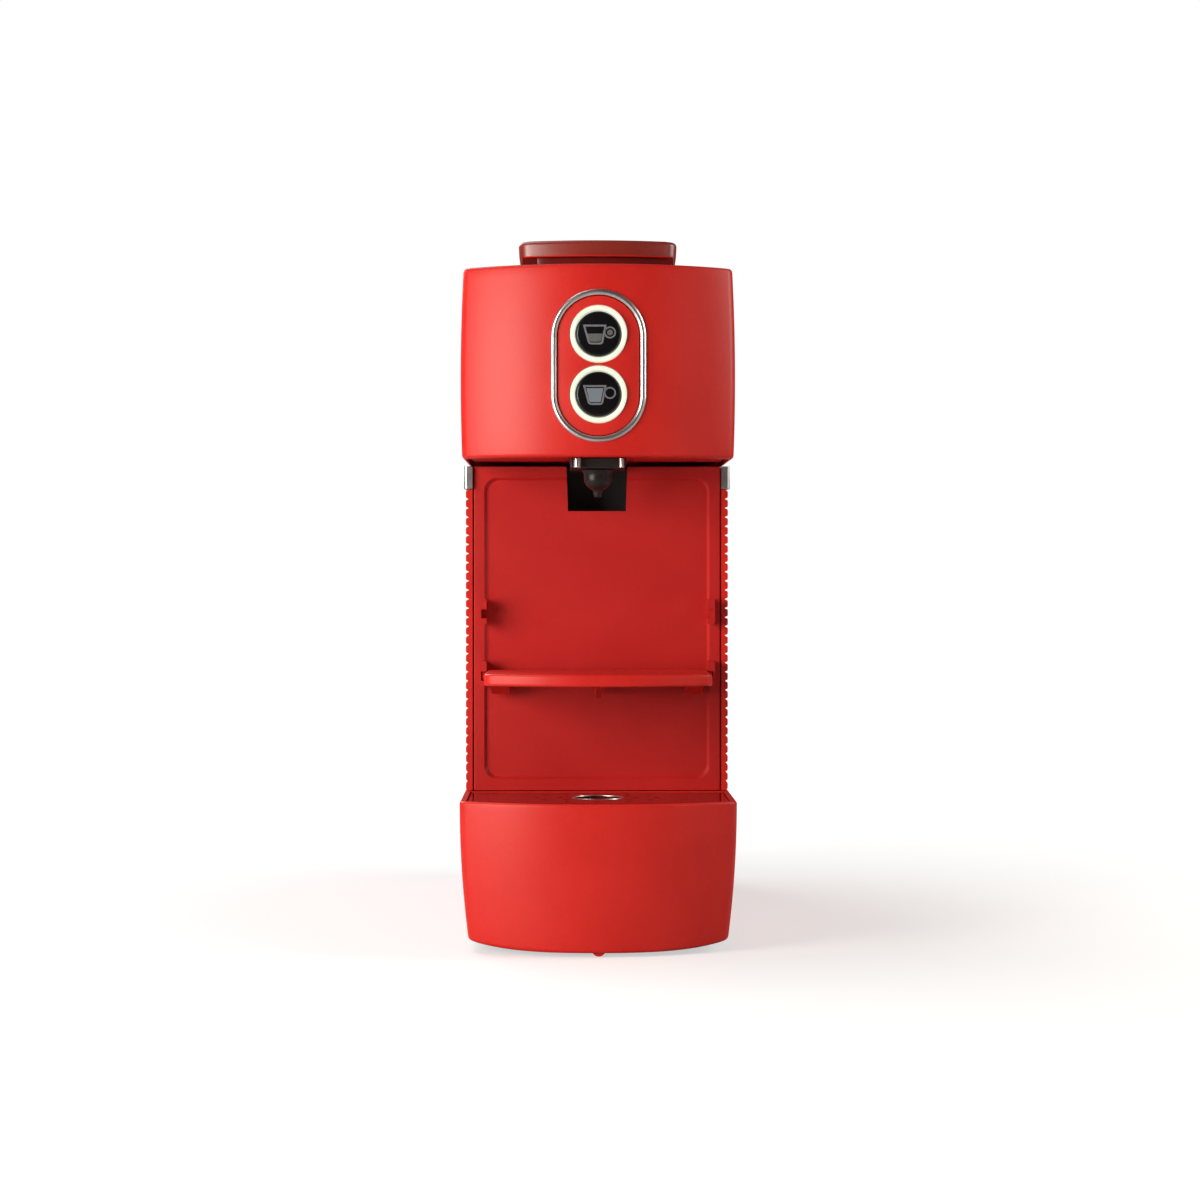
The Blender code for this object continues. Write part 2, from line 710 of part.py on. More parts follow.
def make_spout():
    points = [
        (0, POD_Y, 221.2), (0, POD_Y, 212), (0, -76, 198),
        (0, SPOUT_Y + 2, 190), (0, SPOUT_Y, 184), (0, SPOUT_Y, 178.8),
    ]
    tube("outlet_tube", smooth_route(points, 4), 3.6, BLACK)
    body = box("spout_body", (-10.2, 10.2), (-105.5, -72), (174.6, HEAD_BOTTOM + CLEARANCE), BLACK)
    round_edges(body, 0.6, 1)
    for name, x, radius in (("left_group_post", -7.5, 1.45), ("right_group_post", 8.6, 0.95)):
        rod(name, (x, -107.3, 174.8), (x, -107.3, 178.3), radius, CHROME, sides=16)
    profile = [
        (5.8, 174.2), (5.2, 173.4), (5.1, 171.0), (4.7, 169.5), (3.6, 168.0), (1.8, 166.8), (1.4, 164.4),
        (0.8, 164.4), (0.8, 167.6), (3.4, 169.8), (4.2, 171.6), (4.2, 174.2),
    ]
    turned("coffee_spout", profile, (0, SPOUT_Y, 0), BLACK, steps=20)


def make_boiler():
    profile = [(0, 236), (8, 236), (8, 232), (20, 232), (20, 186), (5, 186), (5, 183), (0, 183)]
    turned("boiler", profile, (0, -14, 0), ALUMINIUM, steps=28)
    rod("boiler_thermostat", (20.4, -14, 205), (25, -14, 205), 6.0, STEEL)


# ---------------------------------------------------------------- lever


def hinge_rod(name, half, radius, material, sides=16):
    """A round bar along the lever's hinge axis."""
    ends = ((-half, HINGE_Y, HINGE_Z), (half, HINGE_Y, HINGE_Z))
    return rod(name, *ends, radius, material, sides=sides)


def make_hinge_block():
    block = box("lever_hinge_block", (-27.4, 27.4), (HINGE_Y - 9, HINGE_Y + 9), (241.5, 244.7), BLACK)
    cut(block, rod("block_hose_way", (0, HINGE_Y, 238), (0, HINGE_Y, 250), 4.2, BLACK, sides=12))
    for side in (-1, 1):
        outline = [(HINGE_Y - KNUCKLE_RADIUS, 243)]
        outline += arc((HINGE_Y, HINGE_Z), KNUCKLE_RADIUS, math.pi, 0.0, 8)
        outline += [(HINGE_Y + KNUCKLE_RADIUS, 243)]
        x = sorted((side * 22.0, side * 27.4))
        join(block, prism(f"post_{side}", outline[::-1], *x, BLACK, "X"))
    cut(block, hinge_rod("post_bore", 30, PIN_RADIUS + CLEARANCE, BLACK))
    return block


def make_lever():
    outline = bowed_outline(LEVER_HALF, LEVER_FRONT, 41.0, 6.0, rear_corner=4.0, steps=10)
    levels = ((LEVER_BOTTOM, 0.8), (252.5, 0.2), (256.6, 0.0), (257.6, 0.5), (LEVER_TOP, 1.6))
    rings = []
    for z, inset in levels:
        scale_x = (LEVER_HALF - inset) / LEVER_HALF
        middle = (LEVER_FRONT + 41.0) / 2
        scale_y = 1 - inset / (41.0 - middle)
        rings.append([(x * scale_x, middle + (y - middle) * scale_y, z) for x, y in outline])
    lever = loft("brew_lever", rings, RED)
    hollow_outline = bowed_outline(27.4, LEVER_FRONT + 2.0, 38.2, 4.4, steps=8)
    hollow = prism("lever_hollow", hollow_outline, 240, 255.3, RED)
    finger = box("finger_cut", (-27.4, 27.4), (-110, -88), (240, LIP_BOTTOM), RED)
    cut(lever, hollow, finger)
    arm = box("knuckle_arm", (-KNUCKLE_HALF, KNUCKLE_HALF), (37, HINGE_Y), (249.6, 256.2), RED)
    knuckle = hinge_rod("knuckle", KNUCKLE_HALF, KNUCKLE_RADIUS - CLEARANCE, RED, sides=24)
    join(lever, arm, knuckle)
    cut(lever, hinge_rod("knuckle_bore", 30, PIN_RADIUS + CLEARANCE, RED))
    hinge_rod("lever_hinge_pin", 27.2, PIN_RADIUS, STEEL)
    box("lever_frame", (-25.8, 25.8), (-96.0, 36.6), (249.4, 252.0), BLACK)
    catch_outline = [
        (-99.4, 243.0), (-97.4, 241.8), (-95.8, 241.8),
        (-95.8, 249.1), (-98.0, 249.1), (-98.0, 244.4),
    ]
    prism("lever_catch", catch_outline, -2.8, 2.8, STEEL, "X")
    pipe = [(6, 34, 253.7), (6, 10, 253.7), (6, -30, 253.7), (2, -56, 253.7), (0, POD_Y, 253.7)]
    tube("lever_water_pipe", smooth_route(pipe, 4), 1.4, SILICONE)


def make_piston():
    profile = [
        (0, 249.1), (20, 249.1), (22.3, 247), (22.3, 242.6),
        (21.2, 242.6), (21.2, 240.4), (20.8, 239.6), (0, 239.6),
    ]
    turned("brew_piston", profile, (0, POD_Y, 0), BLACK, steps=28)
    seal_route = [(x, y, 241.5) for x, y in arc((0, POD_Y), 22.5, 0.0, 2 * math.pi * 27 / 28, 27)]
    tube("piston_seal", seal_route, 1.0, SILICONE, cyclic=True)
    screen = rod("shower_screen", (0, POD_Y, 238.2), (0, POD_Y, 239.3), 19.6, STEEL, sides=28)
    for i in range(6):
        angle = math.pi * i / 3
        x, y = 11 * math.cos(angle), POD_Y + 11 * math.sin(angle)
        cut(screen, rod(f"screen_hole_{i}", (x, y, 236), (x, y, 241), 1.0, STEEL, sides=6))


# ---------------------------------------------------------------- pump and plumbing


def make_pump():
    coil = box("pump_coil", (-20, 20), (-14, 22), (76, 114), COIL)
    cut(coil, rod("coil_bore", (0, -20, 95), (0, 30, 95), 9.4, COIL))
    round_edges(coil, 1.5, 1)
    rod("pump_cylinder", (0, -36, 95), (0, 44, 95), 9.0, BRASS)
    cradle = box("pump_cradle", (-14, 14), (-30, 38), (BASE_TOP + CLEARANCE, 108), RUBBER)
    cut(cradle, box("cradle_gap", (-16, 16), (-24, 32), (60, 110), RUBBER))
    cut(cradle, rod("cradle_bore", (0, -40, 95), (0, 45, 95), 9.3, RUBBER))
    rod("flow_meter", (25, 50, 62), (25, 50, 76), 10.0, BLACK)


def make_hoses():
    suction = [(0, VALVE_Y, 44), (2, 84, 36), (14, 62, 34), (25, 51, 42), (25, 50, 52), (25, 50, 61.7)]
    tube("suction_hose", smooth_route(suction, 4), 3.0, SILICONE)
    feed = [(25, 50, 76.3), (24, 50, 86), (12, 53, 94), (3, 52, 95), (0, 47.5, 95), (0, 44.3, 95)]
    tube("pump_feed_hose", smooth_route(feed, 4), 2.6, SILICONE)
    pressure = [
        (0, -36.3, 95), (0, -44, 97), (0, -50, 110), (0, -46, 135),
        (0, -24, 158), (0, -14, 170), (0, -14, 182.7),
    ]
    tube("pressure_hose", smooth_route(pressure, 4), 2.6, SILICONE)
    brew = [
        (0, -14, 236.3), (0, -13, 239), (0, -4, 241), (0, 20, 239),
        (0, 38, 236), (0, HINGE_Y - 1, 239), (0, HINGE_Y, 247.4),
    ]
    tube("boiler_hose", smooth_route(brew, 4), 2.4, SILICONE)


# ---------------------------------------------------------------- water tank


def tank_outline(inset):
    """Plan outline of the tank, drawn in by inset."""
    return rounded_back(TANK_HALF - inset, TANK_FRONT + inset, BACK - inset, TANK_CORNER - inset)


def make_tank():
    outline = tank_outline(0.0)
    tank = prism("water_tank", outline, *TANK, SMOKED)
    inner = tank_outline(TANK_WALL)
    cut(tank, prism("tank_inside", inner, TANK_FLOOR[1], 260, SMOKED))
    cut(tank, prism("tank_underside", inner, 50, TANK_FLOOR[0], SMOKED))
    cut(tank, rod("tank_outlet", (0, VALVE_Y, 55), (0, VALVE_Y, 70), 3.2, SMOKED, sides=16))
    lid = prism("tank_lid", outline, *LID, RED)
    join(lid, prism("lid_collar", tank_outline(2.4), 239, LID[0] + 1, RED))
    cut(lid, prism("lid_hollow", tank_outline(4.2), 230, LID[0] + 0.2, RED))
    notch = rounded_box_outline((-14, 14), (108, 122), 5)
    cut(lid, prism("lid_thumb_notch", notch, LID[0] + 1.4, 250, RED))
    return tank


def make_tank_valve():
    profile = [(0, 65.2), (6.0, 64.6), (6.0, 62.8), (2.2, 62.8), (2.2, 58.6), (0, 58.6)]
    turned("tank_valve", profile, (0, VALVE_Y, 0), SILICONE, steps=16)
    collar_profile = [(9.0, 57.6), (9.0, 54.7), (5.6, 54.7), (5.6, 46.0), (2.6, 46.0), (2.6, 57.6)]
    turned("tank_coupling", collar_profile, (0, VALVE_Y, 0), BLACK, steps=20)


# ---------------------------------------------------------------- electrics


def make_electrics():
    box("power_board", (-43.5, -41.9), (-56, 24), (70, 160), BOARD)
    inlet = box("power_inlet", (-33, -5), (112, 134.6), (18, 38), BLACK)
    # The rims stand just behind the housing's back wall, which leans in towards the table.
    inlet_rim = rounded_box_outline((-35, -3), (16, 40), 2.0, 2)
    join(inlet, prism("inlet_flange", inlet_rim, 134.1, BACK, BLACK, "Y"))
    cut(inlet, box("inlet_socket", (-31, -7), (119, 140), (20, 36), BLACK))
    for i, (x, z) in enumerate(((-25, 25.5), (-13, 25.5), (-19, 27.5))):
        join(inlet, box(f"inlet_pin_{i}", (x - 1, x + 1), (116, 131), (z - 2, z + 2), BLACK))
    frame = box("switch_frame", (12, 28), (112, 134.6), (17, 39), BLACK)
    switch_rim = rounded_box_outline((10.5, 29.5), (15.5, 40.5), 1.5, 2)
    join(frame, prism("switch_flange", switch_rim, 134.1, BACK, BLACK, "Y"))
    cut(frame, box("switch_well", (13.6, 26.4), (121, 140), (18.6, 37.4), BLACK))
    y, z = ROCKER_PIVOT
    rocker_outline = [(4.2, 8.2), (2.6, 0), (3.4, -8.2), (-4.0, -8.2), (-7.0, 0), (-4.0, 8.2)]
    outline = [(y + a, z + b) for a, b in reversed(rocker_outline)]
    prism("power_rocker", outline, 14.0, 26.0, BLACK, "X")


# ---------------------------------------------------------------- build


def make_machine():
    make_drip_tray()
    make_drip_grid()
    make_base_housing()
    make_floor_plate()
    make_feet()
    make_bay_panel()
    make_side_panels()
    make_trim_bands()
    make_rear_bulkhead()
    make_spout_recess()
    make_cup_shelf()
    make_head_shell()
    make_head_floor()
    make_button_fascia()
    make_bezel()
    make_buttons()
    make_pod_holder()
    make_spout()
    make_boiler()
    make_hinge_block()
    make_lever()
    make_piston()
    make_pump()
    make_hoses()
    make_tank()
    make_tank_valve()
    make_electrics()


make_machine()
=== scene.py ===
# %% [markdown]
# # A narrow pod coffee machine
# The machine is a tall red box with a bowed face. A head with two lit buttons leans out over a
# cup bay, a drip tray stands below it, and a lever on top opens the pod chamber. The packed
# model is loaded first. It fixes every size, and each piece made here lies where its own part
# lies in that model.

# %% Load the model
import math

import bmesh
import bpy
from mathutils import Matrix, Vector


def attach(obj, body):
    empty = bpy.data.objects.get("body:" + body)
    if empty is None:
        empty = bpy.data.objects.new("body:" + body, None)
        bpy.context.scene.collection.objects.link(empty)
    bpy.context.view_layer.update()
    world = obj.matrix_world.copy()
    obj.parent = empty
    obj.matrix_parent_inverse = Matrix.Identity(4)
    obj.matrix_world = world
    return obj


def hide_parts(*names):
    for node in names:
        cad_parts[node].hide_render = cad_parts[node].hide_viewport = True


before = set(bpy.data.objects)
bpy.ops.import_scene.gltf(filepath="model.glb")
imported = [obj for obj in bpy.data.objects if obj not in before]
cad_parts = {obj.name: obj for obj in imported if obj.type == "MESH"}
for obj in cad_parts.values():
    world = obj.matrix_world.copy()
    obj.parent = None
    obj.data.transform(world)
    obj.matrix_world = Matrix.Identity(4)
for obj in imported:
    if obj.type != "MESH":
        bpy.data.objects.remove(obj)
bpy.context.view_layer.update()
MM = 0.001

# %% [markdown]
# ## Working as by hand
# Each piece starts as a primitive or as a single point, and is shaped in edit mode. Every
# operator acts on what is selected, so each start first deselects everything. Faces, edges and
# points are then picked by where they are. All sizes below are in millimetres.


# %% Starting a piece
def mm(*values):
    """Millimetres as the metres that Blender wants."""
    return tuple(value * MM for value in values)


def nothing_selected():
    if bpy.context.mode != "OBJECT":
        bpy.ops.object.mode_set(mode="OBJECT")
    bpy.ops.object.select_all(action="DESELECT")


def span(side, near, far):
    """The range between two distances from the middle, on the side -1 or 1."""
    return sorted((side * near, side * far))


def pick_all():
    bpy.ops.mesh.select_all(action="SELECT")


def hold(piece):
    """Make one piece the only one selected, and the active one."""
    nothing_selected()
    piece.select_set(True)
    bpy.context.view_layer.objects.active = piece


def edit_all():
    """Open the held piece for editing with everything in it selected."""
    bpy.ops.object.mode_set(mode="EDIT")
    pick_all()


def open_piece(name):
    """Name the primitive just added, put its place in its mesh and open it for editing."""
    piece = bpy.context.object
    piece.name = piece.data.name = name
    bpy.ops.object.transform_apply(location=True, rotation=True, scale=True)
    bpy.ops.object.mode_set(mode="EDIT")
    bpy.ops.mesh.select_mode(type="VERT")
    return piece


def block(name, x, y, z):
    """A cube stretched to lie between two values on each axis."""
    nothing_selected()
    middle = [(low + high) / 2 for low, high in (x, y, z)]
    size = [high - low for low, high in (x, y, z)]
    bpy.ops.mesh.primitive_cube_add(size=1, location=mm(*middle))
    bpy.context.object.scale = mm(*size)
    return open_piece(name)


TURNS = {"X": (0, math.pi / 2, 0), "Y": (-math.pi / 2, 0, 0), "Z": (0, 0, 0)}


def rod(name, centre, length, radius, along="Z", sides=48):
    """A cylinder by its centre, length and radius."""
    nothing_selected()
    bpy.ops.mesh.primitive_cylinder_add(
        vertices=sides, radius=radius * MM, depth=length * MM,
        location=mm(*centre), rotation=TURNS[along],
    )
    return open_piece(name)


def point(name, *place):
    """A mesh of one point, ready to be drawn out into a line."""
    nothing_selected()
    bpy.ops.mesh.primitive_plane_add(size=0.01, location=(0, 0, 0))
    piece = open_piece(name)
    pick_all()
    bpy.ops.mesh.merge(type="CENTER")
    bpy.ops.transform.translate(value=mm(*place))
    return piece


def own_copy(piece, name):
    """A copy with its own mesh."""
    copy = piece.copy()
    copy.data = piece.data.copy()
    copy.name = copy.data.name = name
    bpy.context.collection.objects.link(copy)
    return copy


# %% [markdown]
# ## Picking and shaping
# A test on place and direction picks the faces, edges or points to work on. Modifiers are
# applied as soon as they are added, so that a finished piece is plain mesh.


# %% Picking, applying and finishing
def pick(kind, test):
    """Select the faces, edges or points that pass a test of place (mm) and direction."""
    bpy.ops.mesh.select_mode(type=kind)
    bpy.ops.mesh.select_all(action="DESELECT")
    mesh = bpy.context.object.data
    shape = bmesh.from_edit_mesh(mesh)
    if kind == "FACE":
        for face in shape.faces:
            face.select_set(bool(test(face.calc_center_median() / MM, face.normal)))
    elif kind == "EDGE":
        for edge in shape.edges:
            start, end = (vert.co for vert in edge.verts)
            edge.select_set(bool(test((start + end) / (2 * MM), (end - start).normalized())))
    else:
        for vert in shape.verts:
            vert.select_set(bool(test(vert.co / MM, vert.normal)))
    shape.select_flush_mode()
    bmesh.update_edit_mesh(mesh)


def inset_by(width):
    bpy.ops.mesh.inset(thickness=width * MM)


def move(x=0.0, y=0.0, z=0.0):
    bpy.ops.transform.translate(value=mm(x, y, z))


def draw_out(x=0.0, y=0.0, z=0.0):
    """Extrude what is selected by a distance."""
    bpy.ops.mesh.extrude_region_move(TRANSFORM_OT_translate={"value": mm(x, y, z)})


def line(name, places):
    """A point drawn out from place to place, left open for editing."""
    piece = point(name, *places[0])
    for start, end in zip(places, places[1:]):
        draw_out(*(after - before for before, after in zip(start, end)))
    return piece


def filled(name, places):
    """A flat face inside a closed line."""
    piece = line(name, places)
    pick_all()
    bpy.ops.mesh.edge_face_add()
    return piece


def stretch(factors, centre):
    bpy.ops.transform.resize(value=factors, center_override=mm(*centre))


def round_edge(width, segments=3, kind="EDGES"):
    bpy.ops.mesh.bevel(offset=width * MM, segments=segments, affect=kind)


def shaped_by(piece, kind, **settings):
    """Add a modifier with these settings and apply it."""
    hold(piece)
    step = piece.modifiers.new(kind.lower(), kind)
    for key, value in settings.items():
        setattr(step, key, value)
    bpy.ops.object.modifier_apply(modifier=step.name)


def tooled(piece, operation, *tools):
    """Cut, join or trim a piece with other shapes, which are then thrown away."""
    for tool in tools:
        shaped_by(piece, "BOOLEAN", operation=operation, object=tool, solver="EXACT")
        bpy.data.objects.remove(tool)


def cut_away(piece, *tools):
    tooled(piece, "DIFFERENCE", *tools)


def join_on(piece, *tools):
    tooled(piece, "UNION", *tools)


def wired(piece, radius, roundness, closed_ends=False):
    """Turn a line into a round wire of this radius."""
    hold(piece)
    bpy.ops.object.convert(target="CURVE")
    piece.data.bevel_depth = radius * MM
    piece.data.bevel_resolution = roundness
    piece.data.use_fill_caps = closed_ends
    bpy.ops.object.convert(target="MESH")


def turn_outwards():
    """Merge doubled points and point every face outwards."""
    pick_all()
    bpy.ops.mesh.remove_doubles(threshold=0.002 * MM)
    bpy.ops.mesh.normals_make_consistent(inside=False)


def raised(height):
    """Draw a flat outline up into a closed solid."""
    draw_out(z=height)
    turn_outwards()


def finished(piece, finish, body, *nodes, degrees=35):
    """Smooth the piece, give it its finish and let it ride on its body.

    Weighted normals keep each broad face flat right up to its rounded edges.
    """
    hold(piece)
    bpy.ops.object.shade_smooth_by_angle(angle=math.radians(degrees))
    shaped_by(piece, "WEIGHTED_NORMAL", keep_sharp=True)
    piece.data.materials.clear()
    piece.data.materials.append(finish.material)
    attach(piece, body)
    if nodes:
        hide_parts(*nodes)
    size = ", ".join(f"{side / MM:.1f}" for side in piece.dimensions)
    print(f"{piece.name}: {size} mm, {len(piece.data.polygons)} faces")
    return piece


def mirrored_copy(piece, name):
    """A copy reflected across the middle of the machine."""
    nothing_selected()
    copy = own_copy(piece, name)
    hold(copy)
    edit_all()
    stretch((-1, 1, 1), (0, 0, 0))
    turn_outwards()
    return copy


# %% [markdown]
# ## Materials as sums
# A finish is a Principled shader with a few textures mixed by small sums. The class below wraps
# a socket, so that a sum of values in Python adds the Math nodes it needs. Textures read Object
# coordinates: every piece sits at the origin, so these are real places on the machine, in metres.


# %% Sums of sockets
class Value:
    """A socket that can be added, taken away and multiplied like a number."""

    def __init__(self, finish, socket):
        self.finish, self.socket = finish, socket

    def _sum(self, operation, first, second):
        return self.finish.node("ShaderNodeMath", {"operation": operation}, {0: first, 1: second})

    def __add__(self, other):
        return self._sum("ADD", self, other)

    def __sub__(self, other):
        return self._sum("SUBTRACT", self, other)

    def __rsub__(self, other):
        return self._sum("SUBTRACT", other, self)

    def __mul__(self, other):
        return self._sum("MULTIPLY", self, other)

    __radd__, __rmul__ = __add__, __mul__


class Finish:
    """One material and the slot it stands for."""

    def __init__(self, name, slot, roughness, **fixed):
        self.slot = slot
        self.material = bpy.data.materials.new(name)
        self.material.use_nodes = True
        self.tree = self.material.node_tree
        self.shader = self.tree.nodes["Principled BSDF"]
        self.shader.inputs["Roughness"].default_value = roughness
        for key, value in fixed.items():
            self.shader.inputs[key.replace("_", " ")].default_value = value
        self.place = self.node("ShaderNodeTexCoord", output="Object")

    def node(self, kind, settings=None, sockets=None, output=0):
        """Add a node: its settings first, then the values or links of its sockets."""
        made = self.tree.nodes.new(kind)
        for key, value in (settings or {}).items():
            setattr(made, key, value)
        for key, value in (sockets or {}).items():
            if isinstance(value, Value):
                self.tree.links.new(value.socket, made.inputs[key])
            else:
                made.inputs[key].default_value = value
        return Value(self, made.outputs[output])

    def feed(self, name, value):
        self.tree.links.new(value.socket, self.shader.inputs[name])

    def noise(self, size, detail=2.0, stretch_by=None):
        """Noise with spots of about this size in millimetres, near 0.5 on average."""
        place = self.place
        if stretch_by:
            place = self.node("ShaderNodeMapping", None, {"Vector": place, "Scale": stretch_by})
        return self.node(
            "ShaderNodeTexNoise", None,
            {"Vector": place, "Scale": 1 / (size * MM), "Detail": detail, "Roughness": 0.55},
        )

    def contrast(self, value, low, high):
        """Spread the values between low and high over 0 to 1."""
        return self.node(
            "ShaderNodeMapRange", {"clamp": True},
            {"Value": value, "From Min": low, "From Max": high},
        )

    def colours(self, factor, first, second):
        return self.node(
            "ShaderNodeMix", {"data_type": "RGBA"},
            {0: factor, 6: (*first, 1), 7: (*second, 1)}, output=2,
        )

    def bump(self, height, depth, strength=1.0):
        """Raise the surface by up to this depth in millimetres."""
        self.feed("Normal", self.node(
            "ShaderNodeBump", None,
            {"Height": height, "Distance": depth * MM, "Strength": strength},
        ))


# %% [markdown]
# ## Red moulded plastic
# The body is moulded in red ABS with a fine spark-eroded texture, which gives a satin sheen
# that spreads each reflection. Three sizes of noise do this: a grain a quarter of a millimetre
# across for the bump, a mottle of about a millimetre in the gloss, and broad soft patches from
# the flow of the plastic and from handling.


# %% The red finishes
def moulded(name, slot, dark, light, roughness, grain=0.28, depth=0.010, spread=0.07, **fixed):
    """Moulded plastic: a colour that drifts slightly, uneven gloss and a fine grain."""
    finish = Finish(name, slot, roughness, **fixed)
    fine = finish.noise(grain, 2.0)
    mottle = finish.noise(1.3, 3.0)
    broad = finish.noise(28.0, 2.0)
    drift = finish.contrast(broad * 0.7 + mottle * 0.3, 0.35, 0.65)
    finish.feed("Base Color", finish.colours(drift, dark, light))
    finish.feed("Roughness", (mottle * 0.6 + broad * 0.4 - 0.5) * (2 * spread) + roughness)
    finish.bump(fine, depth, 0.6)
    return finish


red_body = moulded(
    "red_satin_shell", "red_satin_plastic",
    (0.62, 0.018, 0.013), (0.68, 0.023, 0.017), 0.38, Specular_IOR_Level=0.27,
)
# A darker copy of the satin red, for the wall of the cup bay and the underside of the head: painted
# shade, for the shade that the head casts on both.
red_in_painted_shade = moulded(
    "red_satin_painted_shade", "red_satin_plastic",
    (0.48, 0.013, 0.012), (0.53, 0.017, 0.015), 0.44, grain=0.35, depth=0.014,
    Specular_IOR_Level=0.3,
)
red_gloss = moulded(
    "red_gloss_top", "red_gloss_plastic",
    (0.24, 0.022, 0.013), (0.29, 0.028, 0.017), 0.34, grain=1.8, depth=0.004, spread=0.05,
    Specular_IOR_Level=0.7,
)
# Dark polished red for the drip grid. On the wall behind the lever's finger gap it is painted
# shade: far darker than the lever's own red, for the shade in the recess under the lip.
dark_red_and_painted_shade = moulded(
    "red_dark_polished_and_painted_shade", "red_gloss_plastic",
    (0.13, 0.008, 0.006), (0.17, 0.012, 0.009), 0.12, grain=2.5, depth=0.003, spread=0.04,
)
red_button_plate = moulded(
    "red_button_plate", "red_gloss_plastic",
    (0.66, 0.019, 0.013), (0.72, 0.025, 0.017), 0.37, grain=0.4, depth=0.006,
)
print("red finishes:", red_body.material.name, red_gloss.material.name)

# %% [markdown]
# ## Black plastic, rubber and silicone
# The dark parts differ only in gloss and grain. The button caps are smooth and nearly black
# with a faint haze of touch marks, the frames behind them are matt, the feet are grippy rubber,
# and the seals and hoses are milky silicone.

# %% The dark and soft finishes
black_matt = moulded(
    "black_matt_plastic", "black_plastic",
    (0.008, 0.007, 0.007), (0.016, 0.013, 0.013), 0.50, grain=0.35, depth=0.012,
)
black_spout = moulded(
    "black_smooth_plastic", "black_plastic",
    (0.010, 0.008, 0.008), (0.018, 0.013, 0.013), 0.34, grain=0.9, depth=0.004,
    Specular_IOR_Level=0.3,
)
black_cap = moulded(
    "button_cap_black", "button_black",
    (0.005, 0.004, 0.005), (0.010, 0.009, 0.010), 0.20, grain=0.6, depth=0.003, spread=0.09,
    Specular_IOR_Level=0.3,
)
rubber = moulded(
    "foot_rubber", "rubber", (0.012, 0.012, 0.012), (0.026, 0.025, 0.024), 0.82,
    grain=0.5, depth=0.03,
)
silicone = moulded(
    "milky_silicone", "silicone", (0.60, 0.60, 0.57), (0.70, 0.70, 0.67), 0.42,
    grain=0.7, depth=0.006, Subsurface_Weight=0.15, Subsurface_Radius=(0.004, 0.004, 0.004),
    Subsurface_Scale=1.0,
)
coil_tape = moulded(
    "pump_coil_tape", "pump_coil", (0.03, 0.03, 0.04), (0.07, 0.07, 0.09), 0.5,
    grain=1.2, depth=0.05,
)
mark_grey = moulded(
    "printed_grey", "light_guide", (0.17, 0.17, 0.19), (0.22, 0.22, 0.24), 0.40,
    grain=0.3, depth=0.002,
)
mark_dark = moulded(
    "printed_dark_grey", "light_guide", (0.12, 0.12, 0.12), (0.16, 0.16, 0.16), 0.40,
    grain=0.3, depth=0.002,
)
mark_pale = moulded(
    "printed_pale_grey", "light_guide", (0.19, 0.22, 0.27), (0.24, 0.27, 0.32), 0.40,
    grain=0.3, depth=0.002,
)
print("dark finishes made")

# %% [markdown]
# ## Metals
# Chrome on plastic has a mirror surface with a few hairline marks and a slight waviness. The
# other metals are duller, and their fine lines run one way, as from a lathe or a brush. That
# direction comes from stretching the noise with a Mapping node.


# %% The metal finishes
def metal(name, slot, dark, light, roughness, lines, spread, depth=0.004):
    """Metal with fine lines: the noise is stretched by the three factors in lines."""
    finish = Finish(name, slot, roughness, Metallic=1.0)
    fine = finish.noise(0.35, 3.0, lines)
    cloud = finish.noise(6.0, 2.0)
    finish.feed("Base Color", finish.colours(finish.contrast(cloud, 0.35, 0.65), dark, light))
    finish.feed("Roughness", (fine * 0.5 + cloud * 0.5 - 0.5) * (2 * spread) + roughness)
    finish.bump(fine, depth, 0.35)
    return finish


chrome = metal(
    "chrome_trim", "chrome", (0.66, 0.66, 0.67), (0.75, 0.75, 0.76), 0.30,
    (0.2, 0.2, 1.0), 0.03, 0.0004,
)
steel = metal(
    "steel_sheet", "steel", (0.50, 0.50, 0.51), (0.60, 0.60, 0.61), 0.30, (1, 1, 0.1), 0.1,
)
brass = metal(
    "brass_tube", "brass", (0.62, 0.42, 0.16), (0.74, 0.53, 0.23), 0.28, (1, 0.1, 1), 0.1,
)
aluminium = metal(
    "cast_aluminium", "aluminium", (0.55, 0.56, 0.58), (0.66, 0.67, 0.69), 0.38, (1, 1, 1), 0.12,
    0.02,
)
print("metal finishes made")

# %% [markdown]
# ## Light rings, circuit boards and the smoked tank
# The rings round the buttons are clear light guides lit from behind, so they glow, slightly
# unevenly, because each is fed by a few small lamps. The tank is smoked red plastic: its Alpha
# lets the inside show, a little less where the plastic is thicker.


# %% The lit, printed and clear finishes
def glow(name, level):
    finish = Finish(name, "light_guide", 0.35, Emission_Strength=level)
    cloud = finish.contrast(finish.noise(5.0, 1.0), 0.3, 0.7)
    finish.feed("Base Color", finish.colours(cloud, (0.36, 0.37, 0.31), (0.42, 0.43, 0.37)))
    finish.feed("Emission Color", finish.colours(cloud, (0.86, 0.94, 0.72), (0.94, 0.99, 0.84)))
    finish.bump(finish.noise(0.8), 0.004, 0.4)
    return finish


def circuit_board():
    finish = Finish("circuit_board_green", "circuit_board", 0.45)
    tracks = finish.node(
        "ShaderNodeTexVoronoi", {"feature": "DISTANCE_TO_EDGE"},
        {"Vector": finish.place, "Scale": 1 / (4 * MM)}, output="Distance",
    )
    line = 1 - finish.contrast(tracks, 0.03, 0.09)
    finish.feed("Base Color", finish.colours(line, (0.01, 0.10, 0.04), (0.03, 0.20, 0.08)))
    finish.feed("Roughness", finish.noise(1.5) * 0.3 + 0.3)
    finish.bump(line, 0.03, 0.5)
    return finish


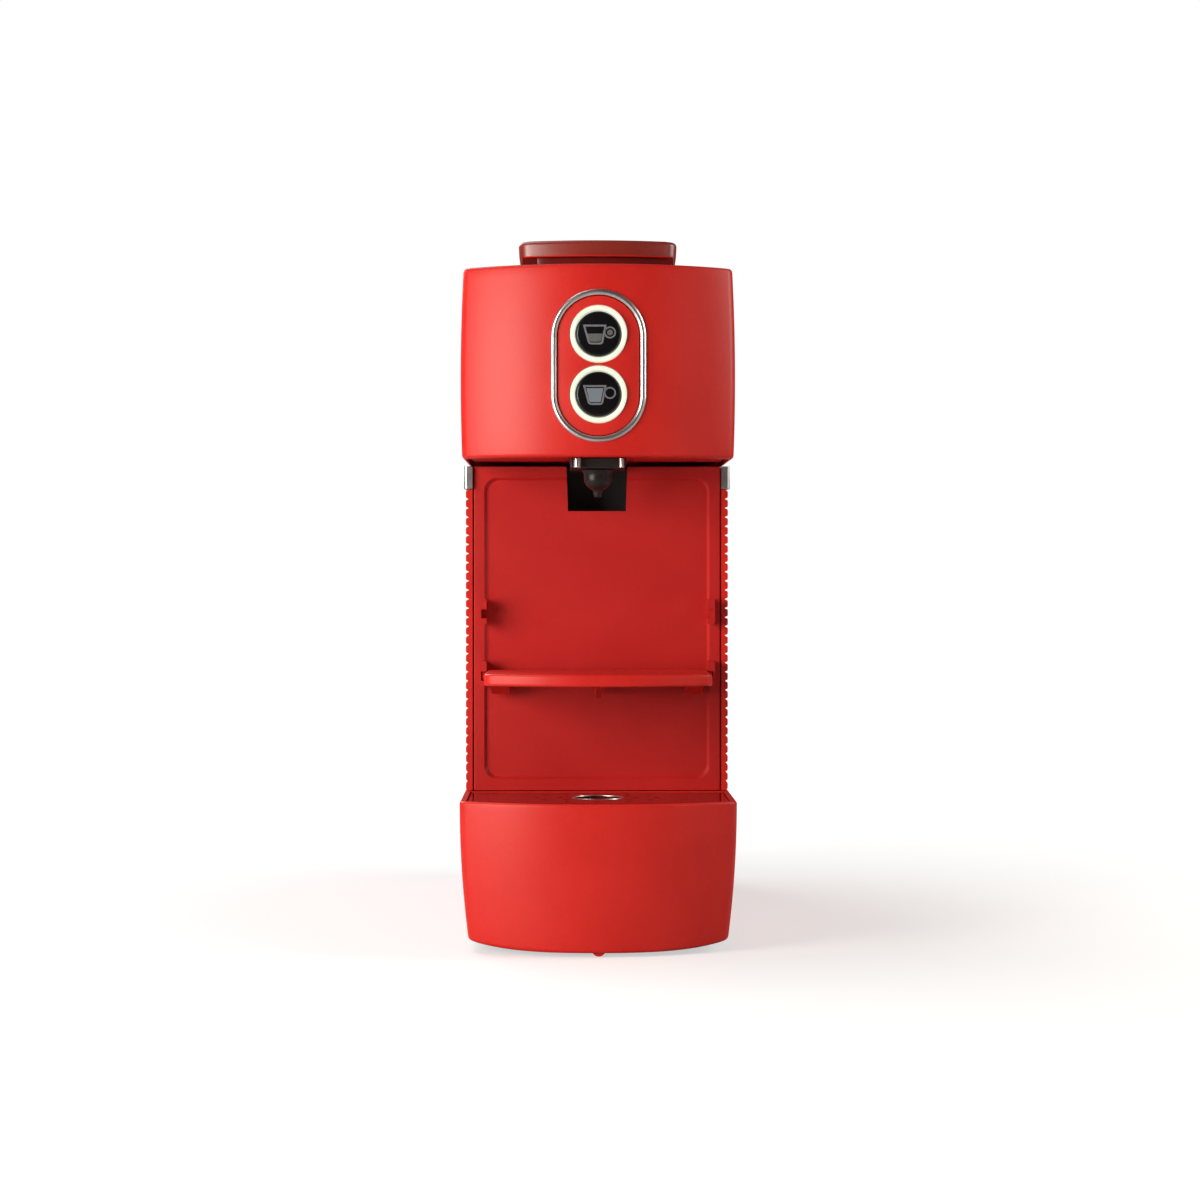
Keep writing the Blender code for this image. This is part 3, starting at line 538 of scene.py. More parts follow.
def smoked_plastic():
    finish = Finish("smoked_tank_plastic", "smoked_tank", 0.10, IOR=1.49)
    cloud = finish.noise(18.0, 2.0)
    finish.feed("Base Color", finish.colours(cloud, (0.10, 0.008, 0.008), (0.17, 0.014, 0.012)))
    finish.feed("Roughness", finish.noise(2.0, 3.0) * 0.14 + 0.05)
    finish.feed("Alpha", cloud * 0.16 + 0.58)
    finish.bump(finish.noise(9.0), 0.02, 0.3)
    return finish


ring_glow = glow("lit_ring", 0.66)
board_green = circuit_board()
smoked = smoked_plastic()
print("special finishes made")

# %% [markdown]
# ## Drawing the bowed outline
# Seen from above, the face of the head, the tray and the lever is one arc with rounded corners.
# One half is drawn as a line: a point is spun along the arc and round the corner, then drawn out
# to the back. Symmetrize adds the other half, so both sides are exactly alike.

# %% A bowed outline
FACE_BOW = 78.0


def half_bow(name, half, front, corner, z, bow=FACE_BOW, steps=20):
    """Half of a bowed front: a point spun along the arc and round the corner."""
    corner_x = half - corner
    reach = bow - corner
    corner_y = front + bow - math.sqrt(reach**2 - corner_x**2)
    meet = math.asin(corner_x / reach)
    piece = point(name, 0, front, z)
    for count, angle, centre in (
        (steps, -meet, mm(0, front + bow, z)),
        (6, meet - math.pi / 2, mm(corner_x, corner_y, z)),
    ):
        bpy.ops.mesh.spin(steps=count, angle=angle, center=centre, axis=(0, 0, 1))
    return piece, corner_y


def bowed_outline(name, half, front, back, corner, z, rear=0.0, bow=FACE_BOW):
    """A flat face with a bowed front, drawn at height z and left open for editing."""
    piece, corner_y = half_bow(name, half, front, corner, z, bow)
    draw_out(y=back - rear - corner_y)
    if rear:
        bpy.ops.mesh.spin(
            steps=10, angle=-math.pi / 2, center=mm(half - rear, back - rear, z), axis=(0, 0, 1)
        )
    close_outline()
    return piece


def close_outline():
    """Mirror a half outline across the middle and fill it."""
    pick_all()
    bpy.ops.mesh.symmetrize(direction="POSITIVE_X", threshold=0.1 * MM)
    pick_all()
    bpy.ops.mesh.remove_doubles(threshold=0.01 * MM)
    bpy.ops.mesh.edge_face_add()


def at_height(z):
    """Pick the faces that lie flat at this height."""
    pick("FACE", lambda place, facing: abs(place.z - z) < 0.02 and abs(facing.z) > 0.9)


# %% [markdown]
# ## The head's cover
# The head swells slightly at mid height, and its edges are softly rounded. The outline is
# raised in short steps, and each step is drawn in a little more or less, as the swell asks. The
# open underside is then given a wall, and the holes for the buttons, the pod and the lever are
# cut. A cutter for the oval is itself a circle whose two halves are moved apart.

# %% The head's cover
HEAD = {"half": 50.0, "front": -124.0, "back": 66.0, "bottom": 178.0, "top": 247.5}
SWELL_HEIGHT, SWELL_RADIUS = 207.0, 800.0
OVAL_HALF, PANEL_Z = 10.4, 210.7
POD_Y, SPOUT_Y = -66.0, -97.0
HINGE_Y, HINGE_Z = 48.0, 253.0


def head_inset(z):
    return (z - SWELL_HEIGHT) ** 2 / (2 * SWELL_RADIUS)


def raise_walls(levels, half, anchor, depth, lean=1.0):
    """Raise a flat face through (height, inset) levels. Depth shrinks towards the anchor."""
    z, inset = levels[0]
    for next_z, next_inset in levels[1:]:
        draw_out(z=next_z - z)
        across = (half - next_inset) / (half - inset)
        deep = (depth - lean * next_inset) / (depth - lean * inset)
        stretch((across, deep, 1), (0, anchor, next_z))
        z, inset = next_z, next_inset


LEAN, EDGE_ROUND, STEP = 1.5, 1.3, 3.03


def head_levels():
    """Heights and insets of the head's cover, with its rounded lower and upper edges."""
    levels = []
    for angle in (0, 22.5, 45, 67.5):
        turned_by = math.radians(angle)
        z = HEAD["bottom"] + EDGE_ROUND * (1 - math.cos(turned_by))
        levels.append((z, head_inset(z) + EDGE_ROUND * (1 - math.sin(turned_by))))
    for i in range(23):
        z = HEAD["bottom"] + EDGE_ROUND + i * STEP
        levels.append((z, head_inset(z)))
    for angle in (30, 60, 90):
        turned_by = math.radians(angle)
        z = HEAD["top"] - EDGE_ROUND + EDGE_ROUND * math.sin(turned_by)
        levels.append((z, head_inset(z) + EDGE_ROUND * (1 - math.cos(turned_by))))
    return levels


levels = head_levels()
start_inset = levels[0][1]
head = bowed_outline(
    "head_cover", HEAD["half"] - start_inset, HEAD["front"] + LEAN * start_inset,
    HEAD["back"], 6.0 - start_inset * 0.5, levels[0][0],
)
raise_walls(levels, HEAD["half"], HEAD["back"], HEAD["back"] - HEAD["front"], LEAN)
turn_outwards()
at_height(HEAD["top"])
inset_by(0.6)
nothing_selected()

# %% The face as a form for other pieces
face_form = own_copy(head, "face_form")


def laid_on_face(piece, sink):
    """Press a flat piece back onto the head's bowed face, sunk by so many millimetres."""
    shaped_by(
        piece, "SHRINKWRAP", wrap_method="PROJECT", target=face_form,
        use_project_y=True, use_positive_direction=True, use_negative_direction=True,
    )
    edit_all()
    move(y=sink)
    nothing_selected()


# %% An upright oval
def upright_oval(name, radius, y, sides=96):
    """A ring of edges: a circle whose upper and lower halves are moved apart."""
    nothing_selected()
    bpy.ops.mesh.primitive_circle_add(
        vertices=sides, radius=radius * MM, location=mm(0, y, PANEL_Z),
        rotation=(math.pi / 2, 0, 0),
    )
    piece = open_piece(name)
    pick("VERT", lambda place, _: place.z > PANEL_Z + 0.05)
    move(z=OVAL_HALF)
    pick("VERT", lambda place, _: place.z < PANEL_Z - 0.05)
    move(z=-OVAL_HALF)
    pick_all()
    return piece


def oval_cutter(radius, depth=(-130.0, -116.0)):
    cutter = upright_oval("oval_cutter", radius, depth[0])
    bpy.ops.mesh.edge_face_add()
    draw_out(y=depth[1] - depth[0])
    turn_outwards()
    return cutter


# %% Wall and holes of the cover
hold(head)
bpy.ops.object.mode_set(mode="EDIT")
pick("FACE", lambda place, facing: place.z < HEAD["bottom"] + 0.01)
bpy.ops.mesh.delete(type="FACE")
shaped_by(head, "SOLIDIFY", thickness=2.5 * MM, offset=-1.0, use_even_offset=True)
cut_away(
    head,
    oval_cutter(17.1),
    rod("pod_hole", (0, POD_Y, 246), 12, 25.6, sides=96),
    block("catch_slot", (-3.6, 3.6), (-100.4, -94.0), (240, 252)),
    rod("hose_hole", (0, HINGE_Y, 246), 12, 3.2),
    *[
        block("post_slot", span(side, 21.7, 27.7), (HINGE_Y - 5.4, HINGE_Y + 5.4), (240, 252))
        for side in (-1, 1)
    ],
)
finished(head, red_body, "machine", "head_shell")

# %% [markdown]
# ## Bezel and button plate
# A chrome wire runs round the oval in the face. Its line is pressed onto the bowed face, turned
# into a curve and given a round section. The red plate inside it is a fine grid, pressed onto
# the same face, thickened, and trimmed to the oval. Two seats are bored for the light rings.

# %% The chrome bezel
bezel = upright_oval("chrome_bezel", 16.0, -131.0, sides=128)
laid_on_face(bezel, 0.2)
wired(bezel, 1.15, 5)
finished(bezel, chrome, "machine", "button_bezel", degrees=80)

# %% The red plate inside the bezel
BUTTON_Z = {"long_cup": 200.5, "short_cup": 222.1}


def button_plate():
    nothing_selected()
    bpy.ops.mesh.primitive_grid_add(
        x_subdivisions=30, y_subdivisions=44, size=1,
        location=mm(0, -131, PANEL_Z), rotation=(math.pi / 2, 0, 0),
    )
    bpy.context.object.scale = mm(40, 60, 1)
    plate = open_piece("button_plate")
    laid_on_face(plate, 0.5)
    shaped_by(plate, "SOLIDIFY", thickness=2.2 * MM, offset=-1.0)
    tooled(plate, "INTERSECT", oval_cutter(14.6))
    for name, z in BUTTON_Z.items():
        cut_away(plate, rod(name + "_seat", (0, -123, z), 14, 10.45, "Y", sides=72))
    return plate


finished(button_plate(), red_button_plate, "machine", "button_fascia", degrees=30)

# %% [markdown]
# ## Turned pieces
# Rings, caps, the spout and the feet are round. Each is drawn as half a section, point by
# point, and spun a full turn about its axis. The seam is merged and the faces are pointed
# outwards.


# %% Turning a section
def turned(name, profile, centre, along="Z", steps=64):
    """Spin a (radius, height) section about an axis through centre."""
    x, y, z = centre
    if min(profile[0][0], profile[-1][0]) > 0:
        profile = (*profile, profile[0])
    if along == "Z":
        piece = line(name, [(x + radius, y, z + height) for radius, height in profile])
    else:
        piece = line(name, [(x + radius, y - height, z) for radius, height in profile])
    pick_all()
    axis = (0, 0, 1) if along == "Z" else (0, 1, 0)
    bpy.ops.mesh.spin(steps=steps, angle=2 * math.pi, center=mm(*centre), axis=axis)
    turn_outwards()
    return piece


# %% Light rings and button caps
BUTTON_FACE = -123.5
RING_SECTION = (
    (9.7, 0.0), (10.0, -0.12), (10.2, -0.5), (10.2, -5.5), (8.4, -5.5), (8.4, -0.5),
    (8.6, -0.12), (8.9, 0.0),
)
CAP_SECTION = (
    (0, 0.0), (5.0, -0.03), (7.2, -0.12), (7.7, -0.3), (8.0, -0.65), (8.1, -1.1), (8.1, -3.6),
    (2.4, -3.6), (2.4, -4.7), (0, -4.7),
)
RING_OF = {"long_cup": "lower_light_ring", "short_cup": "upper_light_ring"}
for name, z in BUTTON_Z.items():
    ring = turned(name + "_ring", RING_SECTION, (0, BUTTON_FACE - 0.3, z), "Y", 96)
    finished(ring, ring_glow, "machine", RING_OF[name])
    cap = turned(name + "_cap", CAP_SECTION, (0, BUTTON_FACE, z), "Y", 72)
    finished(cap, black_cap, name.replace("_cup", "_button"), name + "_button")

# %% [markdown]
# ## Cup marks
# Each cap carries a printed cup: the bowl of the cup as a line, a filled part that shows how
# full it gets, and a round handle with a dot in it. They are thin flat shapes that stand a few
# hundredths of a millimetre off the cap. The bowl is the frame left by insetting a filled outline.


# %% Printed cups
MARK_FRONT = BUTTON_FACE - 0.06
STROKE = 0.68


def flat_shape(name, corners, z):
    """A filled outline on the cap from (x, height) corners."""
    return filled(name, [(x, MARK_FRONT, z + height) for x, height in corners])


def bowl_corners(left, right, top, bottom, left_foot, right_foot, round_by=1.1):
    """A cup seen from the side: straight sides that lean in, and rounded lower corners."""
    corners = [(left, top), (right, top)]
    for side, foot, order in ((right, right_foot, 1), (left, left_foot, -1)):
        reach = round_by / math.hypot(side - foot, top - bottom)
        above = (foot + (side - foot) * reach, bottom + (top - bottom) * reach)
        beside = (foot - order * round_by, bottom)
        curve = []
        for i in range(6):
            t = i / 5
            curve.append(tuple(
                (1 - t) ** 2 * start + 2 * t * (1 - t) * corner + t**2 * end
                for start, corner, end in zip(above, (foot, bottom), beside)
            ))
        corners += curve[::order]
    return corners


def thickened(piece, depth=0.12):
    bpy.ops.mesh.select_mode(type="FACE")
    pick_all()
    draw_out(y=depth)
    turn_outwards()


def cup_mark(name, z, fill_top, fill_finish, body):
    bowl = flat_shape(name + "_bowl", bowl_corners(-5.6, 2.9, 3.2, -3.9, -3.6, 1.5), z)
    inset_by(STROKE)
    bpy.ops.mesh.delete(type="FACE")
    thickened(bowl)
    finished(bowl, mark_grey, body)
    spread = 0.16 * fill_top
    fill = flat_shape(name + "_fill", bowl_corners(
        -4.0 - spread, 1.4 + spread, fill_top, -2.9, -3.1, 0.8, 0.5), z)
    thickened(fill)
    finished(fill, fill_finish, body)
    centre = (4.1, MARK_FRONT, z + 0.4)
    handle = turned(
        name + "_handle", ((1.6, 0), (2.15, 0), (2.15, -0.12), (1.6, -0.12)), centre, "Y", 40
    )
    cut_away(handle, block("bowl_side", (-2, 2.3), (-125, -122), (z - 4, z + 4)))
    dot = turned(name + "_dot", ((0, 0), (1.05, 0), (1.05, -0.12), (0, -0.12)), centre, "Y", 32)
    finished(handle, mark_grey, body)
    finished(dot, fill_finish if fill_top < 1 else black_cap, body)


cup_mark("long_cup_mark", BUTTON_Z["long_cup"], 2.1, mark_pale, "long_button")
cup_mark("short_cup_mark", BUTTON_Z["short_cup"], 0.0, mark_dark, "short_button")

# %% [markdown]
# ## The lever
# The lever is a long shallow cap over the head. The same outline is raised in steps, the last
# of them a rounded top edge. The underside is inset and pushed up, which leaves a wall all round. A
# slot under the front lip makes room for a finger, and a barrel at the back turns on the pin.

# %% The lever
LEVER = {"half": 29.0, "front": -104.0, "back": 41.0}
LEVER_BOTTOM, LIP_EDGE, LEVER_TOP = 248.2, 252.5, 258.0
LEVER_LEVELS = (
    (LEVER_BOTTOM, 0.9), (248.5, 0.75), (LIP_EDGE, 0.2), (256.4, 0.0), (257.0, 0.12),
    (257.5, 0.45), (257.85, 0.95), (LEVER_TOP, 1.6),
)
lever = bowed_outline(
    "lever", LEVER["half"] - 0.9, LEVER["front"] + 0.9, LEVER["back"] - 0.9, 5.4, LEVER_BOTTOM,
    rear=3.6,
)
middle, half_depth = (LEVER["front"] + LEVER["back"]) / 2, (LEVER["back"] - LEVER["front"]) / 2
raise_walls(LEVER_LEVELS, LEVER["half"], middle, half_depth)
turn_outwards()
at_height(LEVER_TOP)
inset_by(0.6)
at_height(LEVER_BOTTOM)
inset_by(1.0)
draw_out(z=7.1)
cut_away(lever, block("finger_gap", (-27.5, 27.5), (-110, -88), (240, LIP_EDGE)))
arm = block("knuckle_arm", (-21.7, 21.7), (37, HINGE_Y), (249.6, 256.2))
join_on(lever, arm, rod("knuckle", (0, HINGE_Y, HINGE_Z), 43.4, 4.7, "X", 40))
cut_away(lever, rod("knuckle_bore", (0, HINGE_Y, HINGE_Z), 60, 2.3, "X", 32))
finished(lever, red_gloss, "lever", "brew_lever")

# %% [markdown]
# A thin bead of the satin red runs along the lower edge of the lever's lip. Lighter than the
# lever's own red, it draws the bright line of that edge: a painted highlight. Its line is half
# an outline like the one above, left open and turned into a round curve.

# %% The bead under the lip, a painted highlight
bead, bead_y = half_bow("lip_highlight_bead", 28.2, LEVER["front"] + 0.75, 5.2, LIP_EDGE, steps=16)
draw_out(y=-88.0 - bead_y)
pick_all()
bpy.ops.mesh.symmetrize(direction="POSITIVE_X", threshold=0.1 * MM)
wired(bead, 0.55, 3, closed_ends=True)
# The satin red here, lighter than the lever, is a painted highlight.
finished(bead, red_body, "lever", degrees=80)

# %% [markdown]
# Behind the gap for the finger, a thin wall closes the lever from side to side, so that
# nobody looks into its hollow. It follows the same bow as the lip. Its red is far darker than
# the lever's own: painted shade, for the shade in the recess under the lip.

# %% The wall behind the finger gap
lip_wall = bowed_outline("lip_wall", 27.35, -101.2, -98.0, 2.0, 248.4)
raised(6.2)
# The darkest red on this wall is painted shade.
finished(lip_wall, dark_red_and_painted_shade, "lever")

# %% [markdown]
# ## Drip tray
# The lower edge of the tray rises in a shallow curve from the middle to the sides. The outline
# is drawn at the bottom and its points are lifted column by column. Raising it to the flat rim
# then squeezes the curve out again, because each step shrinks heights towards the rim. From
# above, the rim, the seat for the grid and the bowl are made with insets.

# %% The drip tray
BASE = {"half": 50.0, "top": 54.4, "bulge": 440.0, "edge": 1.5, "rise": 2.6, "tilt": 0.6}
TRAY_FRONT, TRAY_BACK = -135.0, -70.6


def base_inset(z):
    return (BASE["top"] - z) ** 2 / (2 * BASE["bulge"])


def lift_lower_edge(half):
    """Lift the points of the outline so that the lower edge rises towards the sides."""
    shape = bmesh.from_edit_mesh(bpy.context.object.data)
    for x in sorted({round(abs(vert.co.x) / MM, 3) for vert in shape.verts}):
        pick("VERT", lambda place, _, x=x: abs(abs(place.x) - x) < 0.002)
        move(z=BASE["rise"] * (x / half) ** 4)


BASE_STEPS = (
    (0.0, 1.1), (0.004, 0.65), (0.01, 0.35), (0.018, 0.12), (0.03, 0.0), (0.08, 0.0), (0.16, 0.0),
    (0.25, 0.0), (0.34, 0.0), (0.43, 0.0), (0.52, 0.0), (0.61, 0.0), (0.7, 0.0), (0.79, 0.0),
    (0.88, 0.0), (0.95, 0.0), (0.982, 0.0), (0.989, 0.08), (0.995, 0.28), (1.0, 0.6),
)


def raise_base(anchor, depth, lean=1.0):
    """Raise the outline of the base from its curved lower edge to its flat top."""
    height, inset = 0.0, first_inset
    for next_height, extra in BASE_STEPS[1:]:
        z = BASE["edge"] + next_height * (BASE["top"] - BASE["edge"])
        next_inset = base_inset(z) + extra
        draw_out()
        across = (BASE["half"] - next_inset) / (BASE["half"] - inset)
        deep = (depth - lean * next_inset) / (depth - lean * inset)
        stretch((across, deep, (1 - next_height) / (1 - height)), (0, anchor, BASE["top"]))
        height, inset = next_height, next_inset


first_inset = base_inset(BASE["edge"]) + BASE_STEPS[0][1]
tray = bowed_outline(
    "drip_tray_bowl", BASE["half"] - first_inset, TRAY_FRONT + BASE["tilt"] * first_inset,
    TRAY_BACK, 5.2, BASE["edge"],
)
lift_lower_edge(BASE["half"] - first_inset)
pick_all()
raise_base(TRAY_BACK, TRAY_BACK - TRAY_FRONT, BASE["tilt"])
turn_outwards()

# %% Inside and underside of the tray
at_height(BASE["top"])
inset_by(1.7)
draw_out(z=-2.8)
inset_by(1.9)
draw_out(z=9.6 - 51.6)
pocket = bowed_outline("tray_pocket", 45.3, -125.8, TRAY_BACK + 3, 3.0, -2, bow=70.0)
raised(9)
cut_away(tray, pocket)
join_on(tray, rod("tray_nub", (0, -129.8, 2.62), 3.6, 2.45, "Y", 32))
finished(tray, red_body, "tray", "drip_tray")

# %% [markdown]
# ## Drip grid
# The grid is a glossy plate with one large drain hole and two rings of small ones. Each hole is
# cut by a short rod, placed by its angle round the drain. Two short slots at the rear corners
# take the grid's hooks, and a thin bright wire lines the edge of the drain.

# %% The drip grid
GRID_BOTTOM, GRID_TOP = 51.9, 54.1
grid = bowed_outline("drip_grid_plate", 47.4, -132.2, -72.5, 3.8, GRID_BOTTOM, bow=75.2)
raised(GRID_TOP - GRID_BOTTOM)
pick("EDGE", lambda place, along: abs(place.z - GRID_TOP) < 0.01)
round_edge(0.45, 3)
cutters = [rod("drain", (0, SPOUT_Y, 53), 10, 9.6, sides=64)]
for ring_radius, count in ((14.0, 10), (22.0, 12)):
    for i in range(count):
        angle = 2 * math.pi * i / count
        place = (ring_radius * math.cos(angle), SPOUT_Y + ring_radius * math.sin(angle), 53)
        cutters.append(rod(f"hole_{count}_{i}", place, 10, 1.2, sides=16))
for side in (-1, 1):
    x = span(side, 37.5, 44.5)
    cutters.append(block(f"hook_slot_{side}", x, (-78.2, -77.0), (53.2, 56)))
cut_away(grid, *cutters)
finished(grid, dark_red_and_painted_shade, "grid", "drip_grid")

# %% The ring in the drain
WIRE_RING, WIRE_RADIUS, WIRE_Z = 9.25, 0.35, 54.0
wire_section = tuple(
    (WIRE_RING + WIRE_RADIUS * math.cos(angle), WIRE_Z + WIRE_RADIUS * math.sin(angle))
    for angle in (math.pi * i / 6 for i in range(12))
)
drain_ring = turned("drain_ring", wire_section, (0, SPOUT_Y, 0), steps=72)
finished(drain_ring, chrome, "grid", degrees=60)

# %% [markdown]
# ## Base cover
# Behind the tray the base goes on to the back of the machine, with round rear corners. It is
# made in the same way as the tray, then hollowed from below and cut for the hose, the valve,
# the mains inlet and the switch.

# %% The base cover
HOUSING_FRONT, HOUSING_BACK, REAR_CORNER = -70.0, 134.0, 20.0


def rear_outline(name, half, front, back, corner, z):
    """A flat face with a square front and rounded rear corners."""
    piece = point(name, 0, front, z)
    draw_out(x=half)
    draw_out(y=back - corner - front)
    bpy.ops.mesh.spin(
        steps=12, angle=-math.pi / 2, center=mm(half - corner, back - corner, z), axis=(0, 0, 1)
    )
    close_outline()
    return piece


base = rear_outline(
    "base_cover", BASE["half"] - first_inset, HOUSING_FRONT, HOUSING_BACK - first_inset,
    REAR_CORNER - 2, BASE["edge"],
)
lift_lower_edge(BASE["half"] - first_inset)
pick_all()
raise_base(HOUSING_FRONT, HOUSING_BACK - HOUSING_FRONT)
turn_outwards()
hollow = rear_outline("hollow", 46.6, -67.5, 130.0, 17.0, -2)
raised(53.9)
cut_away(
    base, hollow,
    block("plate_way", (-46.3, 46.3), (-75, -60), (-5, 7.0)),
    rod("hose_way", (25, 50, 52), 15, 4.5),
    rod("valve_way", (0, 98, 52), 15, 6.2),
    block("inlet_window", (-33.2, -4.8), (120, 140), (17.8, 38.2)),
    block("switch_window", (11.8, 28.2), (120, 140), (16.8, 39.2)),
)
finished(base, red_body, "machine", "base_housing")

# %% [markdown]
# ## Floor plate and feet
# The machine is closed below by a black plate with vents, and stands on four rubber feet with
# a worn round edge and a shallow dish underneath. Each foot is turned from the same section at
# its own corner.

# %% Floor plate and feet
plate = bowed_outline("floor_plate_cover", 43.6, -124.2, 128.0, 3.0, 4.8, rear=17.0, bow=69.5)
raised(1.8)
pick("EDGE", lambda place, along: abs(along.z) < 0.1)
round_edge(0.3, 2)
cut_away(plate, *[
    block(f"vent_{i}", (-20, 20), (10 + 12 * i, 14 + 12 * i), (0, 8)) for i in range(5)
])
finished(plate, black_matt, "machine", "floor_plate")

FOOT_SECTION = (
    (0, 0.5), (4.8, 0.5), (5.4, 0.05), (6.3, 0.0), (6.8, 0.25), (7.0, 0.7), (7.0, 3.9), (6.7, 4.4),
    (0, 4.5),
)
FEET = {
    f"foot_{end}_{side}": (x, y)
    for end, y in (("front", -82), ("rear", 112)) for side, x in (("left", -33), ("right", 33))
}
for node, (x, y) in FEET.items():
    foot = turned(node + "_rubber", FOOT_SECTION, (x, y, 0), steps=40)
    finished(foot, rubber, "machine", node)

# %% [markdown]
# ## Ribbed side panels
# The sides between base and head are fluted: thirty-three flat ribs with a sharp groove between
# them. One rib is drawn as a short line, an Array repeats it upwards, and the whole line is
# drawn out sideways to the flat inner face and then along the machine. The other side is a
# mirrored copy.

# %% The ribbed panels
RIBS, RIB_BOTTOM, RIBS_TOP = 33, 54.7, 168.0
RIB_PITCH = (RIBS_TOP - RIB_BOTTOM) / RIBS
RIB_LINE = (
    (48.3, 0.0), (48.33, 0.03), (48.9, 0.09), (49.2, 0.13), (49.35, 0.20), (49.4, 0.32),
    (49.4, 0.68), (49.35, 0.80), (49.2, 0.87), (48.9, 0.91), (48.33, 0.97), (48.3, 1.0),
)
PANEL_FRONT, PANEL_DEPTH = -69.4, 135.4


def ribbed_panel():
    panel = line("right_ribs", [
        (x, PANEL_FRONT, RIB_BOTTOM + share * RIB_PITCH) for x, share in RIB_LINE
    ])
    shaped_by(
        panel, "ARRAY", count=RIBS, use_relative_offset=False, use_constant_offset=True,
        constant_offset_displace=mm(0, 0, RIB_PITCH), use_merge_vertices=True,
        merge_threshold=0.01 * MM,
    )
    edit_all()
    draw_out()
    stretch((0, 1, 1), (46.9, 0, 0))
    pick_all()
    draw_out(y=PANEL_DEPTH)
    turn_outwards()
    return panel


right_ribs = ribbed_panel()
left_ribs = mirrored_copy(right_ribs, "left_ribs")
finished(right_ribs, red_body, "machine", "right_side_panel", degrees=28)
finished(left_ribs, red_body, "machine", "left_side_panel", degrees=28)

# %% [markdown]
# ## Chrome bands
# A chrome band closes the side above the ribs. It is a bar with a rounded nose and a shallow
# groove along it, which catches a second line of light.

# %% The chrome bands
band = block("right_band", (46.9, 50.0), (-70.6, 66.0), (168.3, 176.8))
pick("EDGE", lambda place, along: place.x > 49 and abs(along.z) > 0.9)
round_edge(1.1, 5)
pick("FACE", lambda place, facing: facing.x > 0.9)
inset_by(1.1)
move(x=-0.25)
pick("EDGE", lambda place, along: abs(place.z - 172.5) > 4 and abs(along.z) < 0.1)
round_edge(0.3, 3)
left_band = mirrored_copy(band, "left_band")
finished(band, chrome, "machine", "right_trim_band", degrees=50)
finished(left_band, chrome, "machine", "left_trim_band", degrees=50)

# %% [markdown]
# ## The wall of the cup bay
# The wall behind the cup has a sunk field with rounded corners. The front face is inset, the
# corners of the field are rounded, and the field is pushed back with a little draft, as a
# moulded recess has. Ears with a slot carry the shelf, and a window lets the spout through.

# %% The bay wall
WALL_FRONT, WALL_HALF, WALL_HEIGHTS = -69.0, 46.6, (54.7, 176.7)
FIELD_SINK = 1.2
wall = block(
    "bay_wall", (-WALL_HALF, WALL_HALF), (WALL_FRONT, WALL_FRONT + 3), WALL_HEIGHTS,
)
pick("FACE", lambda place, facing: facing.y < -0.9)
inset_by(4.1)
pick("VERT", lambda place, _: abs(place.x) < 45 and place.y < WALL_FRONT + 1)
round_edge(5.0, 8, "VERTICES")
pick("FACE", lambda place, facing: facing.y < -0.9 and abs(place.x) < 5 and 60 < place.z < 170)
draw_out(y=FIELD_SINK)
stretch((0.976, 1, 0.983), (0, WALL_FRONT + FIELD_SINK, sum(WALL_HEIGHTS) / 2))
pick("EDGE", lambda place, along: abs(place.x) > WALL_HALF - 0.1 and abs(along.z) > 0.9
     and place.y < WALL_FRONT + 1)
round_edge(0.7, 3)

# %% Ears and window of the bay wall
EAR_BOTTOMS = (94.0, 117.3)
window_corners = ((0, 160), (10.9, 160), (11.8, 185))
window = line("spout_window", [(x, WALL_FRONT - 5, z) for x, z in window_corners])
close_outline()
draw_out(y=11)
turn_outwards()
cut_away(wall, window)
for bottom in EAR_BOTTOMS:
    ears = []
    grooves = []
    for side in (-1, 1):
        x = span(side, 41.5, 44.2)
        ear = block(f"ear_{bottom}_{side}", x, (-76.0, WALL_FRONT + 2), (bottom, bottom + 9.6))
        pick("EDGE", lambda place, along: place.y < WALL_FRONT - 1 and abs(along.y) > 0.9)
        round_edge(0.9, 4)
        ears.append(ear)
        groove_x = span(side, 40.5, 43.5)
        grooves.append(block(
            f"groove_{bottom}_{side}", groove_x, (-77, -70.2), (bottom + 2.3, bottom + 5.7)
        ))
    join_on(wall, *ears)
    cut_away(wall, *grooves)
# The wall takes the darker copy of the satin red: painted shade.
finished(wall, red_in_painted_shade, "machine", "bay_panel")

# %% [markdown]
# ## Cup shelf
# The shelf can be hung at two heights. It is a thick plate with a bowed front and round edges.
# A rib and two gussets under it stiffen it, and a tongue at each side slides into the ears.

# %% The cup shelf
shelf = bowed_outline("cup_shelf_plate", 41.2, -130.0, -70.3, 5.0, 95.8)
raised(4.4)
pick("EDGE", lambda place, along: abs(along.z) < 0.1 and place.y < -71)
round_edge(1.0, 4)


def upright_plate(name, corners, x):
    """A flat outline in the machine's length, drawn from (y, z) corners, with a thickness."""
    piece = filled(name, [(x[0], y, z) for y, z in corners])
    draw_out(x=x[1] - x[0])
    turn_outwards()
    return piece


under = [upright_plate(
    "shelf_rib", [(-122, 96.4), (-71, 96.4), (-71, 91.2), (-112, 91.2)], (-0.9, 0.9))]
for side in (-1, 1):
    x = span(side, 32.8, 39.6)
    under.append(upright_plate(
        f"gusset_{side}", [(-86, 96.4), (-71, 96.4), (-71, 91.2), (-74, 91.2)], x))
    x = span(side, 39.2, 43.2)
    under.append(block(f"tongue_{side}", x, (-75.2, -70.6), (96.7, 99.3)))
join_on(shelf, *under)
finished(shelf, red_body, "shelf", "cup_shelf")

# %% [markdown]
# ## The coffee outlet
# Under the head sits a black block between two chrome posts, and the spout below it tapers to
# a small nozzle. Behind it a black liner closes the window in the bay wall.

